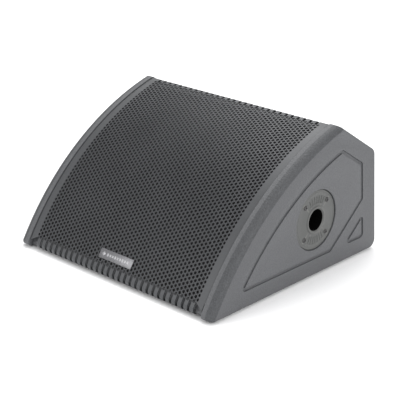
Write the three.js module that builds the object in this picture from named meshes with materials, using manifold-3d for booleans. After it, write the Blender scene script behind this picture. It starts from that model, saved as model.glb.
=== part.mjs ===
// An active stage monitor wedge with a ten-inch coaxial driver: a plywood cabinet with a curved perforated
// grille, a pole socket in the right cheek, a cup handle in the left one and an amplifier tray in the back.
// Millimetres. X runs across the front, Y runs from the front to the back, Z is up, and the floor is Z = 0.
import * as THREE from 'three';
import { mergeVertices } from 'three/addons/utils/BufferGeometryUtils.js';
import Module from 'manifold-3d';

const wasm = await Module();
wasm.setup();

// ---------------------------------------------------------------- driving dimensions
const WIDTH = 442;
const DEPTH = 426.5;
const HEIGHT = 245;
const BACK_HEIGHT = 181;
const BACK_LEAN = 19;
const CREST_FROM_FRONT = 305;
const FRONT_RADIUS = 505.5;
const FOOT_GAP = 2.5;
const CHEEK = 21;
const BOARD = 15;
const BOARD_RECESS = 3;
const FRONT_ROUNDOVER = 13;
const EDGE_ROUNDOVER = 4;
const CORNER_RADIUS = 14;
const TOE_RADIUS = 7;
const CREST_RADIUS = 8;
const JOINT_GAP = 0.3;

const GROOVE_WIDTH = 6;
const GROOVE_DEPTH = 3;
const GROOVE_FRONT_INSET = 45.5;
const GROOVE_SLOPE_INSET = 33;
const GROOVE_BACK_INSET = 39;
const GROOVE_BOTTOM_INSET = 31.5;
const GROOVE_BAND_FOOT = 295;
const GROOVE_BAND = 27;
const GROOVE_BAND_ANGLE = 40 * Math.PI / 180;

const SHEET = 1.6;
const SHEET_RECESS = 1.5;
const SHEET_SIDE_GAP = 1;
const SHEET_FLANGE = 8;
const SHEET_LIP = 24;
const FOAM = 6;
const BADGE = { width: 74, height: 16, thick: 1.2, up: 30 };

const BAFFLE = { thick: 18, behindChord: 10, low: -150, high: 168 };
const DRIVER = { up: 35, frameR: 129, cutoutR: 116, coneR: 100, magnetR: 46, hornR: 24, coilR: 32 };
const PORT = { radius: 27, wall: 2.5, length: 90, flangeR: 32, flange: 4, x: 151, up: 122 };

const SOCKET = { y: 253.1, z: 99, plateR: 50, plate: 5, sink: 2, bore: 36.4, wall: 3, depth: 80, pcd: 78 };
const HANDLE = {
  y: 255, z: 100, width: 114, height: 72, flange: 2.5, sink: 2,
  cupWidth: 94, cupHeight: 54, depth: 38, wall: 3, barR: 8,
};
const TRAY = { width: 330, height: 136, openWidth: 292, openHeight: 108, depth: 24, sheet: 2, up: 86 };
const SCREW = { headR: 4, head: 2.4, shankR: 2, length: 12 };
const FOOT = { radius: 17, x: 165, front: 94, back: 388 };

// ---------------------------------------------------------------- solids, cuts and placing
function solidOf(geometry) {
  const bare = geometry.index ? geometry.toNonIndexed() : geometry.clone();
  const shape = new THREE.BufferGeometry().setAttribute('position', bare.getAttribute('position'));
  const merged = mergeVertices(shape, 1e-3);
  return new wasm.Manifold(new wasm.Mesh({
    numProp: 3,
    vertProperties: merged.attributes.position.array,
    triVerts: new Uint32Array(merged.index.array),
  }));
}

function geometryOf(solid) {
  const mesh = solid.getMesh();
  const points = new Float32Array(mesh.numVert * 3);
  for (let i = 0; i < mesh.numVert; i++) {
    points.set(mesh.vertProperties.subarray(i * mesh.numProp, i * mesh.numProp + 3), i * 3);
  }
  const geometry = new THREE.BufferGeometry();
  geometry.setAttribute('position', new THREE.BufferAttribute(points, 3));
  geometry.setIndex(new THREE.BufferAttribute(new Uint32Array(mesh.triVerts), 1));
  return geometry;
}

// One piece from a first geometry, with others joined to it and others cut from it.
function piece(first, { add = [], cut = [] } = {}) {
  let solid = solidOf(first);
  for (const other of add) solid = solid.add(solidOf(other));
  for (const other of cut) solid = solid.subtract(solidOf(other));
  return geometryOf(solid);
}

function box(width, depth, height, x = 0, y = 0, z = 0) {
  return new THREE.BoxGeometry(width, depth, height).translate(x, y, z);
}

// A solid of revolution about +Z; each profile point is [radius, z], in either direction round the profile.
function turned(profile, sides = 24) {
  const points = profile.map(([r, z]) => new THREE.Vector2(r, z));
  if (THREE.ShapeUtils.area(points) < 0) points.reverse();
  return new THREE.LatheGeometry(points, sides).rotateX(Math.PI / 2);
}

// A round bar along +Z from low to high.
function bar(radius, low, high, sides = 24) {
  return turned([[0, low], [radius, low], [radius, high], [0, high]], sides);
}

// A round tube along +Z from low to high.
function tube(outer, inner, low, high, sides = 24) {
  return turned([[inner, low], [outer, low], [outer, high], [inner, high], [inner, low]], sides);
}

function shapeOf(outline) {
  return new THREE.Shape(outline.map(([a, b]) => new THREE.Vector2(a, b)));
}

const ALONG_X = new THREE.Matrix4().makeBasis(
  new THREE.Vector3(0, 1, 0), new THREE.Vector3(0, 0, 1), new THREE.Vector3(1, 0, 0));

// A side outline of [y, z] points, pulled out along X from one x to another.
function slab(outline, fromX, toX, options = {}) {
  const settings = { depth: toX - fromX, bevelEnabled: false, ...options };
  return new THREE.ExtrudeGeometry(shapeOf(outline), settings).applyMatrix4(ALONG_X).translate(fromX, 0, 0);
}

const group = new THREE.Group();

function put(parent, name, geometry, material) {
  const mesh = new THREE.Mesh(geometry, material);
  mesh.name = name;
  parent.add(mesh);
  return mesh;
}

// ---------------------------------------------------------------- materials
const paint = new THREE.MeshStandardMaterial({ color: 0x3a3b3e, roughness: 0.75, metalness: 0 });
const rawPlywood = new THREE.MeshStandardMaterial({ color: 0xb08a5a, roughness: 0.8, metalness: 0 });
const grilleSteel = new THREE.MeshStandardMaterial({ color: 0x303134, roughness: 0.55, metalness: 0.4 });
const foamBlack = new THREE.MeshStandardMaterial({ color: 0x0b0b0c, roughness: 1, metalness: 0 });
const badgeMetal = new THREE.MeshStandardMaterial({ color: 0x77787b, roughness: 0.4, metalness: 0.7 });
const blackSteel = new THREE.MeshStandardMaterial({ color: 0x1b1b1d, roughness: 0.45, metalness: 0.8 });
const socketPlastic = new THREE.MeshStandardMaterial({ color: 0x3f403f, roughness: 0.6, metalness: 0 });
const rubber = new THREE.MeshStandardMaterial({ color: 0x111112, roughness: 0.9, metalness: 0 });
const castAlloy = new THREE.MeshStandardMaterial({ color: 0x2c2d30, roughness: 0.5, metalness: 0.6 });
const paperCone = new THREE.MeshStandardMaterial({ color: 0x17171a, roughness: 0.95, metalness: 0 });
const magnetGrey = new THREE.MeshStandardMaterial({ color: 0x5c5d60, roughness: 0.5, metalness: 0.6 });
const plainSteel = new THREE.MeshStandardMaterial({ color: 0x9a9ca0, roughness: 0.35, metalness: 0.9 });
const copper = new THREE.MeshStandardMaterial({ color: 0xb06a3b, roughness: 0.4, metalness: 0.9 });
const alloy = new THREE.MeshStandardMaterial({ color: 0x8b8d91, roughness: 0.45, metalness: 0.9 });
const boardGreen = new THREE.MeshStandardMaterial({ color: 0x1d4d31, roughness: 0.5, metalness: 0 });
const blackPlastic = new THREE.MeshStandardMaterial({ color: 0x161617, roughness: 0.5, metalness: 0 });
const clearLens = new THREE.MeshStandardMaterial({ color: 0x3fae63, roughness: 0.3, metalness: 0 });
const wire = new THREE.MeshStandardMaterial({ color: 0xa12a26, roughness: 0.6, metalness: 0 });

// ---------------------------------------------------------------- side outline of the cabinet
// Side outlines are drawn from the front edge, and the cabinet group centres them on the part's origin.
const crest = new THREE.Vector2(CREST_FROM_FRONT, HEIGHT);
const toe = new THREE.Vector2(0, FOOT_GAP);
const backFoot = new THREE.Vector2(DEPTH, FOOT_GAP);
const backTop = new THREE.Vector2(DEPTH - BACK_LEAN, BACK_HEIGHT);
const backDirection = backTop.clone().sub(backFoot).normalize();
const backOut = new THREE.Vector2(backDirection.y, -backDirection.x);
const chord = crest.clone().sub(toe);
const chordAngle = Math.atan2(chord.y, chord.x);
const chordDirection = chord.clone().normalize();
const inward = new THREE.Vector2(chordDirection.y, -chordDirection.x);
const centre = toe.clone().add(crest).multiplyScalar(0.5)
  .addScaledVector(inward, Math.sqrt(FRONT_RADIUS ** 2 - chord.lengthSq() / 4));
const toeAngle = Math.atan2(toe.y - centre.y, toe.x - centre.x);
const crestAngle = Math.atan2(crest.y - centre.y, crest.x - centre.x);
const slopeDirection = backTop.clone().sub(crest).normalize();
const slopeOut = new THREE.Vector2(-slopeDirection.y, slopeDirection.x);

// A point on the front curve, or inset below it; the angle runs down from the crest to the toe.
function frontPoint(angle, inset = 0) {
  const radius = FRONT_RADIUS - inset;
  return [centre.x + radius * Math.cos(angle), centre.y + radius * Math.sin(angle)];
}

function frontArc(fromAngle, toAngle, inset, steps) {
  return Array.from({ length: steps + 1 }, (_, i) => frontPoint(fromAngle + (toAngle - fromAngle) * i / steps, inset));
}

// The angle at which the curve, inset by that much, reaches a height.
function angleAtHeight(z, inset = 0) {
  return Math.PI - Math.asin((z - centre.y) / (FRONT_RADIUS - inset));
}

// A point that far down the back slope from the crest, and that far outside it.
function slopePoint(along, outside) {
  const p = crest.clone().addScaledVector(slopeDirection, along).addScaledVector(slopeOut, outside);
  return [p.x, p.y];
}

// Where the slope, moved outwards by that much, stands above a given y.
function slopeHeight(y, outside) {
  const [y0, z0] = slopePoint(0, outside);
  return z0 + (y - y0) * slopeDirection.y / slopeDirection.x;
}

// A point that far up the back from the floor edge, and that far inside it.
function backPoint(up, inset) {
  const p = backFoot.clone().addScaledVector(backDirection, up).addScaledVector(backOut, -inset);
  return [p.x, p.y];
}

// A point on the baffle: up along it from the middle of its front face, and out of that face.
const baffleMiddle = toe.clone().add(crest).multiplyScalar(0.5).addScaledVector(inward, BAFFLE.behindChord);
function bafflePoint(up, out) {
  const p = baffleMiddle.clone().addScaledVector(chordDirection, up).addScaledVector(inward, -out);
  return [p.x, p.y];
}

// An arc of a radius that rounds the corner between two straight directions.
function corner([y, z], directionIn, directionOut, radius, steps = 5) {
  const turn = Math.acos(THREE.MathUtils.clamp(directionIn.dot(directionOut), -1, 1));
  const back = radius * Math.tan(turn / 2);
  const start = new THREE.Vector2(y, z).addScaledVector(directionIn, -back);
  const side = directionIn.x * directionOut.y - directionIn.y * directionOut.x > 0 ? 1 : -1;
  const heading = Math.atan2(directionIn.y, directionIn.x);
  const hub = start.clone().add(new THREE.Vector2(-Math.sin(heading), Math.cos(heading)).multiplyScalar(radius * side));
  return Array.from({ length: steps + 1 }, (_, i) => {
    const a = heading - side * Math.PI / 2 + side * turn * i / steps;
    return [hub.x + radius * Math.cos(a), hub.y + radius * Math.sin(a)];
  });
}

const BACKWARD = new THREE.Vector2(1, 0);

function frontHeading(angle) {
  return new THREE.Vector2(Math.sin(angle), -Math.cos(angle));
}

function crossing(pointA, directionA, pointB, directionB) {
  const d = directionA.x * directionB.y - directionA.y * directionB.x;
  const t = ((pointB[0] - pointA[0]) * directionB.y - (pointB[1] - pointA[1]) * directionB.x) / d;
  return [pointA[0] + directionA.x * t, pointA[1] + directionA.y * t];
}

// The cheek's outline, drawn in by one inset along the front curve and by another along the straight edges. It runs
// anticlockwise: along the bottom, up the back, up the slope and down the curve, always with as many points.
function cheekOutline(frontInset = 0, edgeInset = 0) {
  const rounded = (radius) => Math.max(radius - (frontInset + edgeInset) / 2, 0.5);
  const bottom = FOOT_GAP + edgeInset;
  const upSlope = slopeDirection.clone().negate();
  const footAngle = angleAtHeight(bottom, frontInset);
  const crestPoint = crossing(slopePoint(0, -edgeInset), slopeDirection, frontPoint(crestAngle, frontInset),
    frontHeading(crestAngle));
  const toeCorner = corner(frontPoint(footAngle, frontInset), frontHeading(footAngle).negate(), BACKWARD,
    rounded(TOE_RADIUS));
  const crestCorner = corner(crestPoint, upSlope, frontHeading(crestAngle).negate(), rounded(CREST_RADIUS), 3);
  const arc = frontArc(angleAtHeight(crestCorner.at(-1)[1], frontInset), angleAtHeight(toeCorner[0][1], frontInset),
    frontInset, 22);
  return [
    ...toeCorner,
    ...corner(crossing([0, bottom], BACKWARD, backPoint(0, edgeInset), backDirection), BACKWARD, backDirection,
      CORNER_RADIUS - edgeInset),
    ...corner(crossing(backPoint(0, edgeInset), backDirection, slopePoint(0, -edgeInset), slopeDirection),
      backDirection, upSlope, CORNER_RADIUS - edgeInset),
    ...crestCorner,
    ...arc.slice(1, -1),
  ];
}

// ---------------------------------------------------------------- grooves in the cheeks
// The outlines of the two routed shapes, grown by an amount on every side.
const bandDirection = new THREE.Vector2(Math.cos(GROOVE_BAND_ANGLE), Math.sin(GROOVE_BAND_ANGLE));
const bandOut = new THREE.Vector2(bandDirection.y, -bandDirection.x);
const bandFoot = [GROOVE_BAND_FOOT, FOOT_GAP + GROOVE_BOTTOM_INSET];

function routedShapes(grow) {
  const bottom = FOOT_GAP + GROOVE_BOTTOM_INSET - grow;
  const back = backPoint(0, GROOVE_BACK_INSET - grow);
  const frontInset = GROOVE_FRONT_INSET - grow;
  const slopeOffset = -(GROOVE_SLOPE_INSET - grow);
  const bandLine = (shift) => [bandFoot[0] + bandOut.x * shift, bandFoot[1] + bandOut.y * shift];
  const upper = bandLine(grow);
  const lower = bandLine(GROOVE_BAND - grow);
  let topAngle = crestAngle;
  while (frontPoint(topAngle, frontInset)[1] > slopeHeight(frontPoint(topAngle, frontInset)[0], slopeOffset)) {
    topAngle += 0.0005;
  }
  while (frontPoint(topAngle, frontInset)[1] < slopeHeight(frontPoint(topAngle, frontInset)[0], slopeOffset)) {
    topAngle -= 0.0005;
  }
  const big = [
    crossing([0, bottom], BACKWARD, upper, bandDirection),
    crossing(back, backDirection, upper, bandDirection),
    crossing(back, backDirection, slopePoint(0, slopeOffset), slopeDirection),
    ...frontArc(topAngle, angleAtHeight(bottom, frontInset), frontInset, 14),
  ];
  const small = [
    crossing([0, bottom], BACKWARD, lower, bandDirection),
    crossing([0, bottom], BACKWARD, back, backDirection),
    crossing(back, backDirection, lower, bandDirection),
  ];
  return [big, small];
}

function grooves(outerX, side) {
  const outside = routedShapes(GROOVE_WIDTH / 2);
  const inside = routedShapes(-GROOVE_WIDTH / 2);
  const fromX = side > 0 ? outerX - GROOVE_DEPTH : outerX - 1;
  return outside.map((outline, i) => {
    const ring = shapeOf(outline);
    ring.holes.push(new THREE.Path(inside[i].map(([a, b]) => new THREE.Vector2(a, b))));
    return new THREE.ExtrudeGeometry(ring, { depth: GROOVE_DEPTH + 1, bevelEnabled: false })
      .applyMatrix4(ALONG_X).translate(fromX, 0, 0);
  });
}

// ---------------------------------------------------------------- frames of reference
const cheekY = cheekOutline().map(([y]) => y);
const cabinet = new THREE.Group();
cabinet.position.y = -(Math.min(...cheekY) + Math.max(...cheekY)) / 2;
group.add(cabinet);

const baffleFrame = new THREE.Group();
baffleFrame.position.set(0, baffleMiddle.x, baffleMiddle.y);
baffleFrame.rotation.x = chordAngle;
cabinet.add(baffleFrame);

const driverFrame = new THREE.Group();
driverFrame.position.y = DRIVER.up;
baffleFrame.add(driverFrame);

// In the tray's frame x runs to the right as seen from behind, y is up and z points backwards.
const trayFrame = new THREE.Group();
trayFrame.position.set(0, ...backPoint(TRAY.up, BOARD_RECESS));
trayFrame.quaternion.setFromRotationMatrix(new THREE.Matrix4().makeBasis(
  new THREE.Vector3(-1, 0, 0),
  new THREE.Vector3(0, backDirection.x, backDirection.y),
  new THREE.Vector3(0, backOut.x, backOut.y)));
cabinet.add(trayFrame);

// A frame on a cheek, with z pointing out of it.
function cheekFrame(side, y, z) {
  const frame = new THREE.Group();
  frame.position.set(side * WIDTH / 2, y, z);
  frame.rotation.y = side * Math.PI / 2;
  cabinet.add(frame);
  frame.updateMatrix();
  return frame;
}
const socketFrame = cheekFrame(1, SOCKET.y, SOCKET.z);
const handleFrame = cheekFrame(-1, HANDLE.y, HANDLE.z);

function inCabinet(geometry, frame) {
  frame.updateMatrix();
  return geometry.clone().applyMatrix4(frame.matrix);
}

// ---------------------------------------------------------------- screws
function screwGeometry({ headR, head, shankR, length }) {
  return turned([[0, -length], [shankR * 0.5, -length], [shankR, -length + 3], [shankR, 0], [headR, 0],
    [headR * 0.85, head * 0.75], [headR * 0.4, head], [0, head]], 12);
}

function screwHole(x, y, top = 1, extra = JOINT_GAP) {
  return bar(SCREW.shankR + extra, -SCREW.length - 1, top, 12).translate(x, y, 0);
}

const socketScrewPlaces = [45, 135, 225, 315].map((degrees) => {
  const a = degrees * Math.PI / 180;
  return [SOCKET.pcd / 2 * Math.cos(a), SOCKET.pcd / 2 * Math.sin(a)];
});
const handleScrewPlaces = [[1, 1], [-1, 1], [-1, -1], [1, -1]].map(([a, b]) => [
  a * (HANDLE.height + HANDLE.cupHeight) / 4, b * (HANDLE.width + HANDLE.cupWidth) / 4]);

// ---------------------------------------------------------------- the cheeks
const innerX = WIDTH / 2 - CHEEK;
const ROUND_STEPS = 5;

// How far a rounded edge of that radius has drawn in at a depth below the outer face.
function drawnIn(radius, depth) {
  return depth >= radius ? 0 : radius - Math.sqrt(radius ** 2 - (radius - depth) ** 2);
}

// One board with its outer rim rounded over, skinned over a row of outlines that shrink towards the outer face.
function cheekBlank(side) {
  const depths = [CHEEK, FRONT_ROUNDOVER];
  for (let i = 1; i <= ROUND_STEPS; i++) depths.push(FRONT_ROUNDOVER * (1 - Math.sin(Math.PI / 2 * i / ROUND_STEPS)));
  depths.splice(-1, 0, EDGE_ROUNDOVER * 0.3);
  depths.sort((a, b) => b - a);
  const rings = depths.map((depth) => ({ x: WIDTH / 2 - depth }));
  const outlines = depths.map((depth) => cheekOutline(drawnIn(FRONT_ROUNDOVER, depth), drawnIn(EDGE_ROUNDOVER, depth)));
  const count = outlines[0].length;
  const points = outlines.flatMap((outline, k) => outline.map(([y, z]) => [side * rings[k].x, y, z]));
  const faces = [];
  const last = count * (rings.length - 1);
  for (let k = 0; k < last; k += count) {
    for (let i = 0; i < count; i++) {
      const j = (i + 1) % count;
      faces.push([k + i, k + j, k + count + j], [k + i, k + count + j, k + count + i]);
    }
  }
  const cap = (outline) => THREE.ShapeUtils.triangulateShape(outline.map(([y, z]) => new THREE.Vector2(y, z)), []);
  cap(outlines[0]).forEach(([a, b, c]) => faces.push([a, c, b]));
  cap(outlines.at(-1)).forEach(([a, b, c]) => faces.push([last + a, last + b, last + c]));
  const geometry = new THREE.BufferGeometry();
  geometry.setAttribute('position', new THREE.BufferAttribute(new Float32Array(points.flat()), 3));
  geometry.setIndex(faces.flatMap(([a, b, c]) => (side > 0 ? [a, b, c] : [a, c, b])));
  return geometry;
}

const socketRecess = inCabinet(bar(SOCKET.plateR + 1, -SOCKET.plate - 0.5, 2, 40), socketFrame);
const socketCut = inCabinet(bar(SOCKET.bore / 2 + SOCKET.wall + 1, -CHEEK - 2, 2, 32), socketFrame);
const socketScrewCuts = socketScrewPlaces.map(([x, y]) => inCabinet(
  screwHole(x, y).translate(0, 0, -SOCKET.sink), socketFrame));
put(cabinet, 'side_panel_right', piece(cheekBlank(1), {
  cut: [...grooves(WIDTH / 2, 1), socketRecess, socketCut, ...socketScrewCuts] }), paint);

const handleCut = inCabinet(box(HANDLE.cupHeight + 1, HANDLE.cupWidth + 1, 3 * CHEEK), handleFrame);
const handleRecess = inCabinet(box(HANDLE.height + 1, HANDLE.width + 1, 2 * (HANDLE.sink + HANDLE.flange)), handleFrame);
const handleScrewCuts = handleScrewPlaces.map(([x, y]) => inCabinet(
  screwHole(x, y).translate(0, 0, -HANDLE.sink), handleFrame));
put(cabinet, 'side_panel_left', piece(cheekBlank(-1), {
  cut: [...grooves(-WIDTH / 2, -1), handleCut, handleRecess, ...handleScrewCuts] }), paint);

// ---------------------------------------------------------------- the boards between the cheeks
const boardX = innerX - JOINT_GAP;
const baseBottom = FOOT_GAP + BOARD_RECESS;
const baseTop = baseBottom + BOARD;
const backLow = crossing([0, baseTop + JOINT_GAP], BACKWARD, backPoint(0, BOARD_RECESS), backDirection);
const backLowInner = crossing([0, baseTop + JOINT_GAP], BACKWARD, backPoint(0, BOARD_RECESS + BOARD), backDirection);
const baffleBackLow = bafflePoint(BAFFLE.low, -BAFFLE.thick - JOINT_GAP);
const baffleHeel = crossing([0, baseTop], BACKWARD, baffleBackLow, chordDirection);
const footScrew = { ...SCREW, length: 10 };

const footPlaces = [[-FOOT.x, FOOT.front], [FOOT.x, FOOT.front], [-FOOT.x, FOOT.back], [FOOT.x, FOOT.back]];
const footScrewCuts = footPlaces.map(([x, y]) => bar(SCREW.shankR + JOINT_GAP, -1, footScrew.length, 12)
  .translate(x, y, baseBottom));
const baseBack = crossing([0, baseBottom], BACKWARD, backPoint(0, BOARD_RECESS), backDirection);
const baseBackTop = crossing([0, baseTop], BACKWARD, backPoint(0, BOARD_RECESS), backDirection);
const baseFront = bafflePoint(BAFFLE.low - JOINT_GAP, -BAFFLE.thick)[0] + JOINT_GAP;
put(cabinet, 'base_panel', piece(slab([
  [baseFront, baseBottom],
  baseBack,
  baseBackTop,
  baffleHeel,
  crossing([baseFront, 0], new THREE.Vector2(0, 1), baffleBackLow, chordDirection),
], -boardX, boardX), { cut: footScrewCuts }), paint);

const SLOPE_JOIN = 30;
const slopeScrewDown = 15;
const lipScrewX = [-150, 0, 150];
const lipTop = -SHEET_RECESS;
const lipScrewCuts = lipScrewX.map((x) => {
  const [y, z] = slopePoint(slopeScrewDown, 0);
  return bar(SCREW.shankR + JOINT_GAP, -SCREW.length - 6, 3, 12)
    .rotateX(-Math.atan2(slopeOut.x, slopeOut.y)).translate(x, y, z);
});
const slopeLow = (inset) => crossing(slopePoint(0, -inset), slopeDirection, backPoint(0, BOARD_RECESS), backDirection);
put(cabinet, 'slope_panel', slab([
  slopePoint(SLOPE_JOIN + JOINT_GAP, -BOARD_RECESS - BOARD),
  slopeLow(BOARD_RECESS + BOARD),
  slopeLow(BOARD_RECESS),
  slopePoint(SLOPE_JOIN + JOINT_GAP, -BOARD_RECESS),
], -boardX, boardX), paint);

const trayCut = inCabinet(box(TRAY.openWidth + 2 * TRAY.sheet + 2, TRAY.openHeight + 2 * TRAY.sheet + 2, 4 * BOARD),
  trayFrame);
const backHigh = (inset) => crossing(slopePoint(0, -BOARD_RECESS - BOARD - JOINT_GAP), slopeDirection,
  backPoint(0, inset), backDirection);
put(cabinet, 'back_panel', piece(slab([
  backLowInner,
  backLow,
  backHigh(BOARD_RECESS),
  backHigh(BOARD_RECESS + BOARD),
], -boardX, boardX), { cut: [trayCut] }), paint);

const railInset = SHEET_RECESS + SHEET + FOAM + 1;
const railBottom = baseBottom + JOINT_GAP;
const baffleFrontLow = bafflePoint(BAFFLE.low - JOINT_GAP, 0);
const baffleBackEnd = bafflePoint(BAFFLE.low - JOINT_GAP, -BAFFLE.thick);
put(cabinet, 'nose_rail', slab([
  frontPoint(angleAtHeight(railBottom, railInset), railInset),
  [baffleBackEnd[0], railBottom],
  [baffleBackEnd[0], baffleBackEnd[1]],
  baffleFrontLow,
  frontPoint(angleAtHeight(baffleFrontLow[1], railInset), railInset),
], -boardX, boardX), paint);

const LIP_SEAT = SHEET_RECESS + SHEET + JOINT_GAP;
const baffleFrontHigh = bafflePoint(BAFFLE.high + JOINT_GAP, 0);
const baffleBackHigh = bafflePoint(BAFFLE.high + JOINT_GAP, -BAFFLE.thick);
put(cabinet, 'crest_rail', piece(slab([
  baffleFrontHigh,
  baffleBackHigh,
  slopePoint(SLOPE_JOIN, -BOARD_RECESS - BOARD),
  slopePoint(SLOPE_JOIN, -LIP_SEAT),
  slopePoint(CREST_RADIUS, -LIP_SEAT),
  frontPoint(crestAngle + 0.03, railInset),
], -boardX, boardX), { cut: lipScrewCuts }), paint);

const baffleHoles = [
  bar(DRIVER.cutoutR, -30, 5, 40).translate(0, DRIVER.up, 0),
  ...[-1, 1].map((side) => bar(PORT.radius + JOINT_GAP, -30, 5, 24).translate(side * PORT.x, PORT.up, 0)),
];
put(baffleFrame, 'baffle', piece(
  box(2 * boardX, BAFFLE.high - BAFFLE.low, BAFFLE.thick, 0, (BAFFLE.high + BAFFLE.low) / 2, -BAFFLE.thick / 2),
  { cut: baffleHoles }), rawPlywood);

// ---------------------------------------------------------------- grille, foam and badge
const sheetX = innerX - SHEET_SIDE_GAP;
const BEND = 6;
const noseBend = 8;
const NOSE_UNDER = FOOT_GAP + 0.8;
const sheetFoot = NOSE_UNDER + noseBend;

// The sheet's middle line from the lip on the back slope, over the crest, down the front and under the nose,
// moved inwards by an inset.
function sheetLine(inset) {
  const startLip = slopePoint(SHEET_LIP, -inset);
  const crestPoint = crossing(slopePoint(0, -inset), slopeDirection, frontPoint(crestAngle, inset), frontHeading(crestAngle));
  const crestBend = corner(crestPoint, slopeDirection.clone().negate(), frontHeading(crestAngle).negate(),
    BEND - inset + SHEET_RECESS, 3);
  const footAngle = angleAtHeight(sheetFoot, inset);
  const [footY, footZ] = frontPoint(footAngle, inset);
  const downToe = frontHeading(footAngle).negate();
  const underZ = NOSE_UNDER + inset - SHEET_RECESS;
  const nosePoint = crossing([footY, footZ], downToe, [0, underZ], BACKWARD);
  const nose = corner(nosePoint, downToe, BACKWARD, noseBend - inset + SHEET_RECESS, 5);
  const arc = frontArc(angleAtHeight(crestBend.at(-1)[1] - 1, inset), angleAtHeight(nose[0][1] + 1, inset), inset, 24);
  return [startLip, ...crestBend, ...arc, ...nose, [nosePoint[0] + SHEET_LIP, underZ]];
}

const sheetOutline = [...sheetLine(SHEET_RECESS), ...sheetLine(SHEET_RECESS + SHEET).reverse()];
const flangeTop = crestAngle + 0.02;
const flangeLow = angleAtHeight(sheetFoot + 10, SHEET_RECESS);
const flangeOutline = [
  ...frontArc(flangeTop, flangeLow, SHEET_RECESS + SHEET / 2, 20),
  ...frontArc(flangeTop, flangeLow, SHEET_RECESS + SHEET_FLANGE, 20).reverse(),
];
put(cabinet, 'grille', piece(slab(sheetOutline, -sheetX, sheetX), {
  add: [slab(flangeOutline, -sheetX, -sheetX + SHEET), slab(flangeOutline, sheetX - SHEET, sheetX)],
  cut: lipScrewCuts,
}), grilleSteel);

const foamTop = SHEET_RECESS + SHEET + JOINT_GAP;
const foamX = sheetX - SHEET - 1;
put(cabinet, 'grille_foam', slab([
  ...frontArc(flangeTop + 0.01, flangeLow - 0.01, foamTop, 20),
  ...frontArc(flangeTop + 0.01, flangeLow - 0.01, foamTop + FOAM - 0.5, 20).reverse(),
], -foamX, foamX), foamBlack);

const badgeAngle = angleAtHeight(FOOT_GAP + BADGE.up + BADGE.height / 4);
const badgeHeading = frontHeading(badgeAngle);
const badgeFrame = new THREE.Group();
const [badgeY, badgeZ] = frontPoint(badgeAngle, SHEET_RECESS);
badgeFrame.position.set(0, badgeY, badgeZ);
badgeFrame.rotation.x = Math.atan2(badgeHeading.y, badgeHeading.x);
cabinet.add(badgeFrame);
put(badgeFrame, 'badge_plate', new THREE.BoxGeometry(BADGE.width, BADGE.height, BADGE.thick)
  .translate(0, 0, BADGE.thick / 2 + JOINT_GAP), badgeMetal);

lipScrewX.forEach((x, i) => {
  const frame = new THREE.Group();
  const [y, z] = slopePoint(slopeScrewDown, lipTop + 0.1);
  frame.position.set(x, y, z);
  frame.rotation.x = -Math.atan2(slopeOut.x, slopeOut.y);
  cabinet.add(frame);
  put(frame, `grille_screw_${i + 1}`, screwGeometry({ ...SCREW, head: 1.8 }), blackSteel);
});

// ---------------------------------------------------------------- pole socket in the right cheek
put(socketFrame, 'pole_socket', piece(bar(SOCKET.plateR, -SOCKET.plate, -SOCKET.sink, 40), {
  add: [
    bar(SOCKET.bore / 2 + SOCKET.wall, -SOCKET.depth, -SOCKET.plate / 2, 32),
    tube(SOCKET.bore / 2 + 5, SOCKET.bore / 2, -SOCKET.plate, 0, 32),
  ],
  cut: [
    bar(SOCKET.bore / 2, -SOCKET.depth + SOCKET.wall, 3, 32),
    ...socketScrewPlaces.map(([x, y]) => bar(SCREW.shankR + JOINT_GAP, -SCREW.length, 2, 12).translate(x, y, 0)),
  ],
}), socketPlastic);
socketScrewPlaces.forEach(([x, y], i) => {
  put(socketFrame, `socket_screw_${i + 1}`, screwGeometry({ ...SCREW, head: 1.8 }), blackSteel)
    .position.set(x, y, -SOCKET.sink + 0.1);
});

// ---------------------------------------------------------------- cup handle in the left cheek
const cupFlangeZ = -HANDLE.sink - HANDLE.flange / 2 + JOINT_GAP;
const cupOuter = box(HANDLE.cupHeight, HANDLE.cupWidth, HANDLE.depth - HANDLE.sink - 1,
  0, 0, -(HANDLE.depth + HANDLE.sink + 1) / 2);
const cupInner = box(HANDLE.cupHeight - 2 * HANDLE.wall, HANDLE.cupWidth - 2 * HANDLE.wall, HANDLE.depth + 10,
  0, 0, -HANDLE.depth / 2 + HANDLE.wall + 5);
const cupSpan = HANDLE.cupWidth / 2 - HANDLE.wall;
put(handleFrame, 'handle_cup', piece(box(HANDLE.height, HANDLE.width, HANDLE.flange, 0, 0, cupFlangeZ), {
  add: [cupOuter],
  cut: [cupInner, ...handleScrewPlaces.map(([x, y]) => screwHole(x, y, 5))],
}), blackPlastic);
put(handleFrame, 'handle_bar', bar(HANDLE.barR, -cupSpan + JOINT_GAP, cupSpan - JOINT_GAP, 20)
  .rotateX(-Math.PI / 2).translate(0, 0, -HANDLE.barR - HANDLE.sink), rubber);
handleScrewPlaces.forEach(([x, y], i) => {
  put(handleFrame, `handle_screw_${i + 1}`, screwGeometry({ ...SCREW, head: 1.6 }), blackSteel)
    .position.set(x, y, -HANDLE.sink + JOINT_GAP + 0.1);
});

// ---------------------------------------------------------------- feet
footPlaces.forEach(([x, y], i) => {
  put(cabinet, `foot_${i + 1}`, turned([[0, 3], [5, 3], [5, 0], [FOOT.radius - 2, 0], [FOOT.radius, 2],
    [FOOT.radius, baseBottom], [0, baseBottom]], 24), rubber).position.set(x, y, 0);
});

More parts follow.
